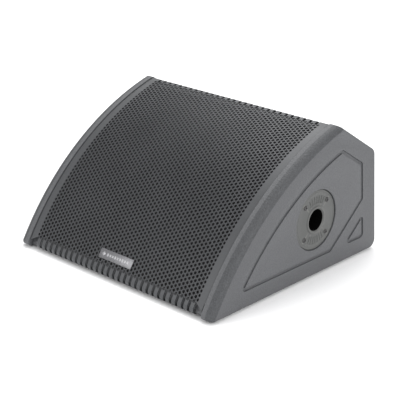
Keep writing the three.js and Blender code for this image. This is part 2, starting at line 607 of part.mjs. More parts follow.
// ---------------------------------------------------------------- coaxial driver, z out of the baffle
const chassis = { flange: 5, spiderZ: -48, plateZ: -62, backZ: -82, capZ: -112 };
const basketR = DRIVER.cutoutR - 2;
const windows = Array.from({ length: 6 }, (_, i) => box(58, 60, 34, 0, basketR - 12, -24).rotateZ(i * Math.PI / 3));
put(driverFrame, 'woofer_basket', piece(turned([
  [DRIVER.coneR + 12, chassis.flange],
  [DRIVER.frameR, chassis.flange],
  [DRIVER.frameR, JOINT_GAP],
  [basketR, JOINT_GAP],
  [basketR - 6, -8],
  [62, chassis.plateZ + JOINT_GAP],
  [40, chassis.plateZ + JOINT_GAP],
  [40, chassis.plateZ + 4],
  [58, chassis.plateZ + 4],
  [basketR - 12, -4],
  [DRIVER.coneR + 12, 1],
  [DRIVER.coneR + 12, chassis.flange],
], 40), { cut: windows }), castAlloy);

const surroundInner = DRIVER.coneR - 2;
const surroundOuter = DRIVER.coneR + 20;
const rollCentre = (surroundInner + 6 + surroundOuter - 8) / 2;
const rollR = (surroundOuter - 8 - surroundInner - 6) / 2;
const roll = (radius, steps = 6) => Array.from({ length: steps + 1 }, (_, i) => {
  const a = Math.PI * i / steps;
  return [rollCentre - radius * Math.cos(a), chassis.flange + JOINT_GAP + radius * Math.sin(a)];
});
put(driverFrame, 'woofer_surround', turned([
  [surroundInner, chassis.flange + JOINT_GAP],
  ...roll(rollR - 1),
  [surroundOuter, chassis.flange + JOINT_GAP],
  [surroundOuter, chassis.flange + JOINT_GAP + 1.2],
  ...roll(rollR + 0.2).map(([r, z]) => [r, z + 0.6]).reverse(),
  [surroundInner, chassis.flange + JOINT_GAP + 1.2],
  [surroundInner, chassis.flange + JOINT_GAP],
], 40), rubber);

const coneTop = chassis.flange - 0.4;
put(driverFrame, 'woofer_cone', turned([
  [DRIVER.coneR + 3, coneTop - 1.2],
  [DRIVER.coneR + 3, coneTop],
  [DRIVER.coneR - 4, coneTop],
  [68, -20],
  [DRIVER.coilR + 1.6, -38],
  [DRIVER.coilR + 1.6, -40],
  [70, -22.5],
  [DRIVER.coneR - 3, coneTop - 1.2],
  [DRIVER.coneR + 3, coneTop - 1.2],
], 40), paperCone);
put(driverFrame, 'voice_coil', tube(DRIVER.coilR + 1.2, DRIVER.coilR, -74, -38.5, 32), copper);

const ripple = (lift) => Array.from({ length: 13 }, (_, i) => [
  DRIVER.coilR + 2 + i * 2, chassis.spiderZ + lift + (i % 2 ? 1.6 : 0)]);
put(driverFrame, 'spider', turned([...ripple(0), ...ripple(1).reverse(), ripple(0)[0]], 32), paperCone);

put(driverFrame, 'top_plate', tube(DRIVER.magnetR + 8, DRIVER.coilR + 2.2, chassis.plateZ - 8, chassis.plateZ, 32), plainSteel);
put(driverFrame, 'magnet', tube(DRIVER.magnetR + 4, DRIVER.coilR + 6, chassis.backZ, chassis.plateZ - 8 - JOINT_GAP, 32), magnetGrey);
const throatR = 9;
put(driverFrame, 'back_plate', turned([
  [throatR, chassis.backZ - 10 - JOINT_GAP],
  [DRIVER.magnetR + 8, chassis.backZ - 10 - JOINT_GAP],
  [DRIVER.magnetR + 8, chassis.backZ - JOINT_GAP],
  [DRIVER.coilR - 1, chassis.backZ - JOINT_GAP],
  [DRIVER.coilR - 1, chassis.plateZ],
  [throatR + 3, chassis.plateZ],
  [throatR, chassis.backZ - 10 - JOINT_GAP],
], 32), plainSteel);
put(driverFrame, 'hf_horn', turned([
  [throatR + 3, chassis.plateZ + JOINT_GAP],
  [DRIVER.hornR + 4, chassis.plateZ + JOINT_GAP],
  [DRIVER.hornR + 4, -30],
  [DRIVER.coilR - 3, -12],
  [DRIVER.coilR - 5, -12],
  [DRIVER.hornR - 6, -34],
  [throatR + 3, chassis.plateZ + JOINT_GAP],
], 32), blackPlastic);
put(driverFrame, 'hf_diaphragm', turned([
  [0, -98], [20, -98], [20, -97.4], [14, -97.4], [10, -95.2], [5, -94], [0, -93.6],
], 24), alloy);
put(driverFrame, 'hf_housing', turned([
  [0, chassis.capZ - 6], [34, chassis.capZ - 6], [36, chassis.capZ - 4], [36, chassis.backZ - 11],
  [24, chassis.backZ - 11], [24, -100], [0, -100],
], 32), castAlloy);

// ---------------------------------------------------------------- ports
[-1, 1].forEach((side) => {
  put(baffleFrame, side < 0 ? 'port_tube_left' : 'port_tube_right', turned([
    [PORT.radius - PORT.wall, -PORT.length], [PORT.radius, -PORT.length], [PORT.radius, JOINT_GAP],
    [PORT.flangeR, JOINT_GAP], [PORT.flangeR, JOINT_GAP + 1], [PORT.radius, PORT.flange],
    [PORT.radius - PORT.wall + 2, PORT.flange - 1], [PORT.radius - PORT.wall, -4],
    [PORT.radius - PORT.wall, -PORT.length],
  ], 24), blackPlastic).position.set(side * PORT.x, PORT.up, 0);
});

// ---------------------------------------------------------------- amplifier tray, z backwards
const floorBack = -TRAY.depth;
const floorFace = floorBack + TRAY.sheet;
const jacks = { y: 27, combo: -18, link: 18, cut: 24, flangeW: 26, flangeH: 31, flange: 2 };
const knobs = { y: -27, volume: -18, preset: 18, radius: 9, height: 14, shaftR: 3 };
const button = { x: 44, y: -27, size: 8, height: 7 };
const lens = { x: 44, y: 27, width: 7, height: 26, proud: 1.5 };
const power = { x: 100, y: 0, width: 62, height: 84, flange: 2.4, bodyW: 54, bodyH: 76, depth: 34 };
const inlet = { y: 10, width: 25, height: 19, depth: 17 };
const drawer = { y: -14, width: 28, height: 12, depth: 24, lip: 1.6 };
const rocker = { y: 31, width: 22, height: 15, depth: 8 };
const sink = { x: -92, width: 96, height: 98, base: 4, fins: 11, fin: 2.6, reach: 12 };
const posts = [[-1, -1], [1, -1], [1, 1], [-1, 1]].map(([a, b]) => [sink.x + a * 42, b * 40]);

const trayOpen = box(TRAY.openWidth, TRAY.openHeight, TRAY.depth + 10, 0, 0, floorFace + (TRAY.depth + 10) / 2);
put(trayFrame, 'amp_tray', piece(box(TRAY.width, TRAY.height, TRAY.sheet, 0, 0, TRAY.sheet / 2 + JOINT_GAP), {
  add: [
    box(TRAY.openWidth + 2 * TRAY.sheet, TRAY.openHeight + 2 * TRAY.sheet, TRAY.depth + 1, 0, 0, floorBack / 2 + 0.5),
    ...posts.map(([x, y]) => bar(3, floorBack - 12, floorBack + 1, 12).translate(x, y, 0)),
  ],
  cut: [
    trayOpen,
    ...[jacks.combo, jacks.link].map((x) => bar(jacks.cut / 2, floorBack - 2, floorFace + 2, 24).translate(x, jacks.y, 0)),
    ...[knobs.volume, knobs.preset].map((x) => bar(knobs.shaftR + 1, floorBack - 2, floorFace + 2, 12).translate(x, knobs.y, 0)),
    box(button.size + 1, button.size + 1, 8, button.x, button.y, floorBack),
    box(lens.width + 0.6, lens.height + 0.6, 8, lens.x, lens.y, floorBack),
    box(power.bodyW + 1, power.bodyH + 1, 8, power.x, power.y, floorBack),
  ],
}), blackSteel);

const finPitch = (sink.width - sink.fin) / (sink.fins - 1);
const sinkFoot = floorFace + 0.1;
put(trayFrame, 'heat_sink', piece(box(sink.width, sink.height, sink.base, sink.x, 0, sinkFoot + sink.base / 2), {
  add: Array.from({ length: sink.fins }, (_, i) => box(sink.fin, sink.height, sink.reach + 1,
    sink.x - sink.width / 2 + sink.fin / 2 + i * finPitch, 0, sinkFoot + sink.base + sink.reach / 2 - 0.5)),
}), blackSteel);

function jackGeometry(socketR, socketDepth, pegs) {
  return piece(box(jacks.flangeW, jacks.flangeH, jacks.flange, 0, 0, floorFace + jacks.flange / 2), {
    add: [bar(jacks.cut / 2 - 0.6, floorBack - 26, floorFace + 1, 24)],
    cut: [
      bar(socketR, floorFace - socketDepth, floorFace + 5, 24),
      ...pegs,
    ],
  });
}
const latch = { width: 7, height: 3, thick: 2.6, up: 12.4, travel: 0.8 };
const latchCut = box(latch.width + 2 * JOINT_GAP, latch.height + 2 * JOINT_GAP, 2 * jacks.flange,
  0, latch.up, floorFace + jacks.flange);
put(trayFrame, 'combo_jack', jackGeometry(9, 20, [latchCut]), blackPlastic).position.set(jacks.combo, jacks.y, 0);
put(trayFrame, 'link_jack', jackGeometry(9, 14, []), blackPlastic).position.set(jacks.link, jacks.y, 0);
put(trayFrame, 'jack_latch', box(latch.width, latch.height, latch.thick, 0, 0, latch.thick / 2), blackPlastic)
  .position.set(jacks.combo, jacks.y + latch.up, floorFace + latch.travel + 0.2);

function knobGeometry() {
  return piece(turned([
    [0, floorBack - 6], [knobs.shaftR, floorBack - 6], [knobs.shaftR, floorFace + 1],
    [knobs.radius, floorFace + 1], [knobs.radius * 0.86, floorFace + knobs.height], [0, floorFace + knobs.height],
  ], 24), { cut: [box(1.4, knobs.radius, 1.5, 0, knobs.radius / 2 + 1.5, floorFace + knobs.height)] });
}
put(trayFrame, 'volume_knob', knobGeometry(), blackPlastic).position.set(knobs.volume, knobs.y, 0);
put(trayFrame, 'preset_knob', knobGeometry(), blackPlastic).position.set(knobs.preset, knobs.y, 0);
put(trayFrame, 'lift_button', box(button.size, button.size, button.height + 6, button.x, button.y,
  floorFace + (button.height - 6) / 2), blackPlastic);
put(trayFrame, 'led_lens', box(lens.width, lens.height, TRAY.sheet + lens.proud + 1, lens.x, lens.y,
  floorFace + (lens.proud - TRAY.sheet - 1) / 2), clearLens);

const powerFace = floorFace + power.flange;
put(trayFrame, 'mains_inlet', piece(box(power.width, power.height, power.flange, 0, 0, floorFace + power.flange / 2), {
  add: [
    box(power.bodyW, power.bodyH, power.depth, 0, 0, floorFace - power.depth / 2 + 0.5),
  ],
  cut: [
    box(inlet.width, inlet.height, inlet.depth + 5, 0, inlet.y, powerFace - inlet.depth / 2 + 2.5),
    box(drawer.width, drawer.height, drawer.depth + 5, 0, drawer.y, powerFace - drawer.depth / 2 + 2.5),
    box(rocker.width, rocker.height, rocker.depth + 5, 0, rocker.y, powerFace - rocker.depth / 2 + 2.5),
  ],
}), blackPlastic).position.set(power.x, power.y, 0);
const slideGap = 0.5;
put(trayFrame, 'fuse_drawer', box(drawer.width - 2 * slideGap, drawer.height - 2 * slideGap, drawer.depth - 1 + drawer.lip,
  0, 0, (drawer.lip + 1 - drawer.depth) / 2), blackPlastic).position.set(power.x, power.y + drawer.y, powerFace);

// The rocker turns about a shaft along x, halfway down its well.
const rockerOutline = [[-6.4, 0.5], [-5.2, -2.6], [5.2, -2.6], [6.4, 0.5], [6.2, 4.4], [0, 2.4], [-6.2, 1.2]];
put(trayFrame, 'power_rocker', slab(rockerOutline, -rocker.width / 2 + slideGap, rocker.width / 2 - slideGap), blackPlastic)
  .position.set(power.x, power.y + rocker.y, powerFace - 3);

const boardZ = floorBack - 12 - JOINT_GAP;
put(trayFrame, 'amp_board', box(sink.width, 92, 1.6, sink.x, 0, boardZ - 0.8), boardGreen);
put(trayFrame, 'transformer', tube(26, 7, boardZ - 1.6 - JOINT_GAP - 26, boardZ - 1.6 - JOINT_GAP, 24), copper)
  .position.set(sink.x - 14, 12, 0);

// ---------------------------------------------------------------- leads from the board to the driver
function lead(parent, name, points, radius) {
  const curve = new THREE.CatmullRomCurve3(points.map((p) => new THREE.Vector3(...p)), false, 'centripetal');
  const ring = new THREE.Shape();
  ring.absarc(0, 0, radius, 0, 2 * Math.PI, false);
  put(parent, name, new THREE.ExtrudeGeometry(ring, {
    steps: 36, curveSegments: 4, bevelEnabled: false, extrudePath: curve }), wire);
}
const boardInner = boardZ - 1.6;
lead(trayFrame, 'woofer_lead', [
  [sink.x - 30, -30, boardInner - 1.5],
  [sink.x - 30, -34, boardInner - 20],
  [sink.x - 10, -30, boardInner - 45],
  [sink.x + 5, -10, boardInner - 70],
  [sink.x + 20, 8, boardInner - 90],
], 2.5);

// ---------------------------------------------------------------- wadding under the slope
put(cabinet, 'wadding', slab([
  slopePoint(36, -BOARD_RECESS - BOARD - JOINT_GAP),
  slopePoint(36, -BOARD_RECESS - BOARD - 14),
  slopePoint(84, -BOARD_RECESS - BOARD - 14),
  slopePoint(84, -BOARD_RECESS - BOARD - JOINT_GAP),
], -120, 120), foamBlack);

export default group;
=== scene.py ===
# %% [markdown]
# # An active stage monitor wedge
# A floor monitor is a low box with a loudspeaker that looks up at the player. This one has two thick painted cheeks,
# a curved sheet of perforated steel between them, a pole socket in the right cheek and an amplifier tray in its back.
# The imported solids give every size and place, and this lesson gives each piece its finer shape and its finish.

# %% Load the frame
import math
import bmesh
import bpy
from mathutils import Matrix, Vector


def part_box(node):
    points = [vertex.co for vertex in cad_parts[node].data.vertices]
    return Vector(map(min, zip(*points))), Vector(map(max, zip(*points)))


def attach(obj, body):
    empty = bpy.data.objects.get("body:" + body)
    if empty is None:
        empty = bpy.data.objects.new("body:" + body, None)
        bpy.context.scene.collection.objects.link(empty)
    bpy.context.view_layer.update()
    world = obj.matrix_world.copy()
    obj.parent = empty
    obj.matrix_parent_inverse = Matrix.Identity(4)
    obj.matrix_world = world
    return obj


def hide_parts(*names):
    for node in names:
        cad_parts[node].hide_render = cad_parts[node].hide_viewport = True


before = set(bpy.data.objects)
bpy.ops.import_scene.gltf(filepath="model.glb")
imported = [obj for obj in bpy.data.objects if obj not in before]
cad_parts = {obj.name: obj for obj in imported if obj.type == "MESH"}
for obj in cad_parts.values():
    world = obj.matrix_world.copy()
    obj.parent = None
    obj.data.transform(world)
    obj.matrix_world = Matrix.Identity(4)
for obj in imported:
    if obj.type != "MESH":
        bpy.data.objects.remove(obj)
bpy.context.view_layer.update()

# %% [markdown]
# ## The side view that everything follows
# The cheeks, the grille and the boards all follow one side view: a flat floor edge, a leaning back, a slope behind
# the crest, and a front that is one arc from the toe to the crest. We keep the same driving sizes as the solids do
# and work out the arc's centre once, because each curved piece below asks for it.

# %% Sizes of the side view, in metres
MM = 0.001
FRONT_Y = -214.863 * MM
TOE = Vector((FRONT_Y, 2.5 * MM))
CREST = Vector((FRONT_Y + 305 * MM, 245 * MM))
BACK_FOOT = Vector((FRONT_Y + 426.5 * MM, 2.5 * MM))
BACK_TOP = Vector((FRONT_Y + 407.5 * MM, 181 * MM))
FRONT_RADIUS = 505.5 * MM
CHEEK = 21 * MM
ROUNDOVER, EDGE_ROUNDOVER = 13 * MM, 4 * MM
BACK_CORNER, CREST_CORNER, TOE_CORNER, LEAST_CORNER = 14 * MM, 8 * MM, 7 * MM, 0.5 * MM
low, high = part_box("side_panel_right")
HALF_WIDTH = high[0]
INNER_X = HALF_WIDTH - CHEEK

chord = CREST - TOE
INWARD = Vector((chord.y, -chord.x)).normalized()
CENTRE = (TOE + CREST) / 2 + INWARD * math.sqrt(FRONT_RADIUS ** 2 - chord.length_squared / 4)
SLOPE = (BACK_TOP - CREST).normalized()
SLOPE_OUT = Vector((-SLOPE.y, SLOPE.x))
BACK_UP = (BACK_TOP - BACK_FOOT).normalized()
BACK_OUT = Vector((BACK_UP.y, -BACK_UP.x))
BAFFLE_UP = chord.normalized()
print("the front arc's centre is at", [round(v, 4) for v in CENTRE])


# %% [markdown]
# ## Small helpers for bmesh
# Every new piece starts from one of bmesh's own shapes and is pushed about with its operators. These few helpers
# save typing: one finishes a bmesh into an object that sits at the origin, one turns a profile into a round piece,
# one cuts a shape out of another, and one softens the edges of a solid that already has its right shape.

# %% Finish a bmesh into a piece
def linked(name, data):
    thing = bpy.data.objects.new(name, data)
    bpy.context.collection.objects.link(thing)
    return thing


def finished(bm, name, material, body="cabinet", sharp=35):
    name = name.replace(" ", "_")
    mesh = bpy.data.meshes.new(name)
    for face in bm.faces:
        face.smooth = True
    bm.to_mesh(mesh)
    bm.free()
    mesh.set_sharp_from_angle(angle=math.radians(sharp))
    piece = linked(name, mesh)
    mesh.materials.append(material)
    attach(piece, body)
    return piece


def stand_for(piece, slot, *nodes):
    if nodes:
        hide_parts(*nodes)
    print(piece.name, "has", len(piece.data.polygons), "faces")
    return piece


def add_piece(bm, name, material, slot, *nodes, body="cabinet", sharp=35):
    return stand_for(finished(bm, name, material, body, sharp), slot, *nodes)


# %% Turned pieces
def turned(bm, profile, steps=48, place=Matrix.Identity(4)):
    """Spins (radius, z) points in millimetres about +Z. A profile that stays off the axis is closed into a ring."""
    before = set(bm.verts)
    if profile[0][0] > 0:
        profile = [*profile, profile[0]]
    points = [bm.verts.new((r * MM, 0, z * MM)) for r, z in profile]
    edges = [bm.edges.new(pair) for pair in zip(points, points[1:])]
    bmesh.ops.spin(bm, geom=points + edges, cent=(0, 0, 0), axis=(0, 0, 1), angle=math.tau, steps=steps,
                   use_merge=True, use_duplicate=False)
    new = [v for v in bm.verts if v not in before]
    bmesh.ops.remove_doubles(bm, verts=new, dist=1e-6)
    new = [v for v in bm.verts if v not in before]
    bmesh.ops.recalc_face_normals(bm, faces=list({f for v in new for f in v.link_faces}))
    bmesh.ops.transform(bm, matrix=place, verts=new)


def pin(bm, radius, low, high, steps, place):
    turned(bm, [(0, low), (radius, low), (radius, high), (0, high)], steps, place)


def block(bm, size, centre=(0, 0, 0), bevel=0.0, segments=2, place=Matrix.Identity(4)):
    """A box with softened edges, in millimetres."""
    new = bmesh.ops.create_cube(bm, size=1)["verts"]
    move = Matrix.Translation([v * MM for v in centre])
    bmesh.ops.transform(bm, matrix=move @ Matrix.Diagonal((*(v * MM for v in size), 1)), verts=new)
    if bevel:
        edges = list({e for v in new for e in v.link_edges})
        made = bmesh.ops.bevel(bm, geom=edges, offset=bevel * MM, offset_type="OFFSET", segments=segments, profile=0.5,
                               affect="EDGES", material=-1, clamp_overlap=True)
        new = list({v for f in made["faces"] for v in f.verts} | {v for v in new if v.is_valid})
    bmesh.ops.transform(bm, matrix=place, verts=new)


# %% Cut one shape out of another
def carved(bm, cutter, operation="DIFFERENCE"):
    """Cuts the cutter bmesh out of bm with the exact boolean and gives a new bmesh."""
    pair = []
    for source, name in ((bm, "body"), (cutter, "cutter")):
        mesh = bpy.data.meshes.new(name)
        source.to_mesh(mesh)
        source.free()
        pair.append(linked(name, mesh))
    change = pair[0].modifiers.new("cut", "BOOLEAN")
    change.operation = operation
    change.solver = "EXACT"
    change.object = pair[1]
    bpy.context.view_layer.update()
    result = bpy.data.meshes.new_from_object(pair[0].evaluated_get(bpy.context.evaluated_depsgraph_get()))
    made = bmesh.new()
    made.from_mesh(result)
    for thing in pair:
        mesh = thing.data
        bpy.data.objects.remove(thing)
        bpy.data.meshes.remove(mesh)
    bpy.data.meshes.remove(result)
    return made


# %% Soften a solid that already has its right shape
def softened(node, name, material, body="cabinet", width=0.5, angle=30):
    """A copy of a solid with its doubles merged, its flat faces joined and its sharp edges rounded, width in
    millimetres."""
    bm = bmesh.new()
    bm.from_mesh(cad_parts[node].data)
    bmesh.ops.remove_doubles(bm, verts=bm.verts, dist=2e-6)
    bmesh.ops.dissolve_limit(bm, angle_limit=math.radians(1), verts=bm.verts, edges=bm.edges)
    sharp = [e for e in bm.edges if len(e.link_faces) == 2 and e.calc_face_angle(0) > math.radians(angle)]
    bmesh.ops.bevel(bm, geom=sharp, offset=width * MM, offset_type="OFFSET", segments=2, profile=0.5,
                    affect="EDGES", material=-1, clamp_overlap=True)
    return finished(bm, name, material, body)


# %% [markdown]
# ## One node group for every finish
# Real paint, plastic and metal are never one flat colour. The tone drifts a little over the surface, handled places
# are smoother, and a fine grain catches the light. All the finishes share those three effects, so they are one node
# group with its own inputs, and each material sets its own values. Edges that get knocked are found by pointiness,
# which is high on the rounded edges of a dense mesh.

# %% The surface group
def node(tree, kind, **settings):
    made = tree.nodes.new("ShaderNode" + kind)
    for key, value in settings.items():
        if hasattr(made, key):
            setattr(made, key, value)
        else:
            made.inputs[key.replace("_", " ")].default_value = value
    return made


def wire(tree, *pairs):
    for source, target in pairs:
        tree.links.new(source, target)


def maths(tree, operation, first, second):
    made = tree.nodes.new("ShaderNodeMath")
    made.operation = operation
    for socket, value in zip(made.inputs, (first, second)):
        if isinstance(value, (int, float)):
            socket.default_value = value
        else:
            tree.links.new(value, socket)
    return made.outputs[0]


def ramp(tree, value, from_min, from_max, to_min=0.0, to_max=1.0):
    made = tree.nodes.new("ShaderNodeMapRange")
    for name, number in (("From Min", from_min), ("From Max", from_max), ("To Min", to_min), ("To Max", to_max)):
        made.inputs[name].default_value = number
    tree.links.new(value, made.inputs["Value"])
    return made.outputs["Result"]


def surface_group():
    tree = bpy.data.node_groups.new("surface", "ShaderNodeTree")
    face = tree.interface
    face.new_socket("Vector", in_out="INPUT", socket_type="NodeSocketVector")
    face.new_socket("Tone", in_out="INPUT", socket_type="NodeSocketColor")
    face.new_socket("Worn tone", in_out="INPUT", socket_type="NodeSocketColor")
    for name, value in (("Roughness", 0.5), ("Drift", 0.15), ("Grain", 800.0), ("Fleck", 0.1), ("Wear", 0.0)):
        face.new_socket(name, in_out="INPUT", socket_type="NodeSocketFloat").default_value = value
    face.new_socket("Color", in_out="OUTPUT", socket_type="NodeSocketColor")
    face.new_socket("Roughness", in_out="OUTPUT", socket_type="NodeSocketFloat")
    face.new_socket("Height", in_out="OUTPUT", socket_type="NodeSocketFloat")
    given = tree.nodes.new("NodeGroupInput").outputs
    out = tree.nodes.new("NodeGroupOutput").inputs
    broad = node(tree, "TexNoise", Scale=11.0, Detail=4.0, Roughness=0.6)
    fine = node(tree, "TexNoise", Detail=3.0, Roughness=0.65)
    wire(tree, (given["Vector"], broad.inputs["Vector"]), (given["Vector"], fine.inputs["Vector"]),
         (given["Grain"], fine.inputs["Scale"]))
    drift = ramp(tree, broad.outputs["Fac"], 0.3, 0.7, -1.0, 1.0)
    speck = ramp(tree, fine.outputs["Fac"], 0.3, 0.7, -1.0, 1.0)
    shift = maths(tree, "ADD", maths(tree, "MULTIPLY", drift, given["Drift"]),
                  maths(tree, "MULTIPLY", speck, given["Fleck"]))
    toned = node(tree, "HueSaturation")
    wire(tree, (given["Tone"], toned.inputs["Color"]), (maths(tree, "ADD", shift, 1.0), toned.inputs["Value"]))
    shape = tree.nodes.new("ShaderNodeNewGeometry")
    edge = ramp(tree, shape.outputs["Pointiness"], 0.515, 0.60)
    rubbed = maths(tree, "MULTIPLY", maths(tree, "MULTIPLY", edge, given["Wear"]),
                   ramp(tree, fine.outputs["Fac"], 0.35, 0.6))
    worn = node(tree, "MixRGB")
    wire(tree, (rubbed, worn.inputs["Fac"]), (toned.outputs["Color"], worn.inputs["Color1"]),
         (given["Worn tone"], worn.inputs["Color2"]), (worn.outputs["Color"], out["Color"]),
         (fine.outputs["Fac"], out["Height"]))
    wire(tree, (maths(tree, "ADD", given["Roughness"], maths(tree, "MULTIPLY", drift, 0.08)), out["Roughness"]))
    return tree


SURFACE = surface_group()


# %% A finish from the group
def finish(name, tone, roughness, metallic=0.0, drift=0.12, grain=900.0, fleck=0.06, wear=0.0, worn=(0.3, 0.3, 0.31),
           bump=0.25, depth=0.06, **sockets):
    """A Principled material whose colour, roughness and bump come from the surface group. depth is in millimetres."""
    made = bpy.data.materials.new(name)
    made.use_nodes = True
    tree = made.node_tree
    shader = tree.nodes["Principled BSDF"]
    shader.inputs["Metallic"].default_value = metallic
    for key, value in sockets.items():
        shader.inputs[key.replace("_", " ")].default_value = value
    place = tree.nodes.new("ShaderNodeTexCoord")
    surface = node(tree, "Group", node_tree=SURFACE, Tone=(*tone, 1), Worn_tone=(*worn, 1), Roughness=roughness,
                   Drift=drift, Grain=grain, Fleck=fleck, Wear=wear)
    relief = node(tree, "Bump", Strength=bump, Distance=depth * MM)
    wire(tree, (place.outputs["Object"], surface.inputs["Vector"]),
         (surface.outputs["Color"], shader.inputs["Base Color"]),
         (surface.outputs["Roughness"], shader.inputs["Roughness"]),
         (surface.outputs["Height"], relief.inputs["Height"]), (relief.outputs["Normal"], shader.inputs["Normal"]))
    return made


# %% [markdown]
# ## The finishes
# The cabinet's paint is a thick coat sprayed in two passes, so it is rough like orange peel and sparkles where a
# grain faces the light. The steel has a thin powder coat. The moulded parts have a fine spark-eroded grain, and the
# metal parts inside have their own plated and cast surfaces. The paint needs a second, coarser relief that the
# shared group doesn't have, so its own tree adds a layer of round grains under the fine ones.

# %% Cabinet paint
def cabinet_paint(name, tone, fleck, coarseness):
    """Two coats of textured paint, with a layer of round grains under the fine grain. The roundover's copy has a darker
    tone, which is painted shade, and stronger specks and a coarser relief.
    """
    made = finish(name, tone, 0.56, drift=0.08, grain=520.0, fleck=fleck, wear=0.2,
                  worn=(0.19, 0.195, 0.205), bump=0.8, depth=0.5)
    tree = made.node_tree
    shader = tree.nodes["Principled BSDF"]
    fine = next(n for n in tree.nodes if n.type == "BUMP")
    place = next(n for n in tree.nodes if n.type == "TEX_COORD")
    grains = node(tree, "TexVoronoi", feature="SMOOTH_F1", Scale=430.0, Smoothness=0.6, Randomness=1.0)
    coarse = node(tree, "Bump", Strength=coarseness, Distance=0.45 * MM)
    wire(tree, (place.outputs["Object"], grains.inputs["Vector"]),
         (ramp(tree, grains.outputs["Distance"], 0.1, 0.75, 1.0, 0.0), coarse.inputs["Height"]),
         (fine.outputs["Normal"], coarse.inputs["Normal"]), (coarse.outputs["Normal"], shader.inputs["Normal"]))
    return made


PAINT = cabinet_paint("cabinet paint", (0.08, 0.082, 0.087), 0.22, 0.65)
# The roundover's paint is darker than the flat paint, and that darker tone is painted shade. It also has stronger
# specks and a coarser relief.
ROUNDOVER_PAINT_WITH_PAINTED_SHADE = cabinet_paint("rougher cabinet paint with painted shade on the roundover", (0.045, 0.047, 0.051), 0.42, 1.0)
STEEL = finish("grille powder coat", (0.055, 0.057, 0.061), 0.42, metallic=0.15, drift=0.08, grain=1500.0, wear=0.0,
               worn=(0.09, 0.09, 0.095), bump=0.2, depth=0.05)
SOCKET = finish("socket plastic", (0.075, 0.077, 0.075), 0.5, grain=1400.0, fleck=0.08, wear=0.4,
                worn=(0.24, 0.235, 0.22), bump=0.3, depth=0.08)
PLASTIC = finish("black plastic", (0.016, 0.016, 0.017), 0.42, grain=1600.0, wear=0.3, worn=(0.06, 0.06, 0.06))
KNOB = finish("knob plastic", (0.02, 0.02, 0.021), 0.34, grain=1900.0, wear=0.5, worn=(0.09, 0.09, 0.09))
RUBBER = finish("rubber", (0.012, 0.012, 0.012), 0.82, drift=0.3, grain=1100.0, fleck=0.2, wear=0.5,
                worn=(0.06, 0.058, 0.055), bump=0.35, depth=0.08)
SCREW = finish("black screw", (0.028, 0.028, 0.03), 0.3, metallic=0.85, grain=2200.0, wear=0.7,
               worn=(0.42, 0.41, 0.4), bump=0.15)
ZINC = finish("zinc plate", (0.52, 0.52, 0.54), 0.3, metallic=1.0, drift=0.1, grain=1300.0)
CASTING = finish("painted casting", (0.045, 0.045, 0.05), 0.48, metallic=0.3, grain=700.0, bump=0.5, depth=0.2,
                 wear=0.4, worn=(0.3, 0.3, 0.31))
MAGNET = finish("nickel plate", (0.42, 0.41, 0.39), 0.26, metallic=1.0, grain=1800.0)
FOIL = finish("diaphragm foil", (0.62, 0.62, 0.65), 0.22, metallic=1.0, grain=2500.0)
TRAY = finish("tray powder coat", (0.022, 0.022, 0.024), 0.5, metallic=0.2, grain=1200.0, fleck=0.14, wear=0.4,
              worn=(0.12, 0.12, 0.125), bump=0.5, depth=0.12)
ANODISED = finish("black anodising", (0.024, 0.024, 0.027), 0.36, metallic=0.8, grain=1800.0, wear=0.6,
                  worn=(0.35, 0.35, 0.36))
BADGE = finish("badge metal", (0.11, 0.11, 0.116), 0.34, metallic=0.7, drift=0.08, grain=1800.0, wear=0.5,
               worn=(0.5, 0.5, 0.52))
BORE = finish("shade in the bore", (0.0015, 0.0015, 0.0015), 0.9, grain=900.0, fleck=0.0, bump=0.05,
              Specular_IOR_Level=0.05)
BADGE_MARK = finish("badge mark", (0.36, 0.36, 0.37), 0.3, metallic=0.6, grain=1800.0)
LEGEND = finish("printed legend", (0.62, 0.62, 0.6), 0.55, grain=900.0, bump=0.05)
CONTACT = finish("plated contact", (0.75, 0.6, 0.3), 0.22, metallic=1.0, grain=2000.0)
print(len(bpy.data.materials), "finishes so far")

# %% [markdown]
# Some finishes follow a pattern of their own. Plywood shows rings and plies, the cone's paper has radial fibres, the
# suspension's cloth has a weave, the windings are fine turns of wire, and foam is a mass of open cells. Each of them
# adds one texture between the coordinates and the shared group's tone.

# %% Finishes with a pattern
def patterned(made, texture, settings, output, dark, light, span=(0.3, 0.7), stretch=(1, 1, 1), depth=0.2):
    """Feeds the finish's tone from a texture between two tones, and its relief from the same texture."""
    tree = made.node_tree
    surface = next(n for n in tree.nodes if n.type == "GROUP")
    place = next(n for n in tree.nodes if n.type == "TEX_COORD")
    relief = next(n for n in tree.nodes if n.type == "BUMP")
    shader = tree.nodes["Principled BSDF"]
    mapping = node(tree, "Mapping", Scale=stretch)
    pattern = node(tree, texture, **settings)
    mask = ramp(tree, pattern.outputs[output], *span)
    mixed = node(tree, "MixRGB", Color1=(*dark, 1), Color2=(*light, 1))
    second = node(tree, "Bump", Strength=0.6, Distance=depth * MM)
    wire(tree, (place.outputs["Object"], mapping.inputs["Vector"]),
         (mapping.outputs["Vector"], pattern.inputs["Vector"]),
         (pattern.outputs[output], second.inputs["Height"]), (mask, mixed.inputs["Fac"]),
         (mixed.outputs["Color"], surface.inputs["Tone"]), (relief.outputs["Normal"], second.inputs["Normal"]),
         (second.outputs["Normal"], shader.inputs["Normal"]))
    return made


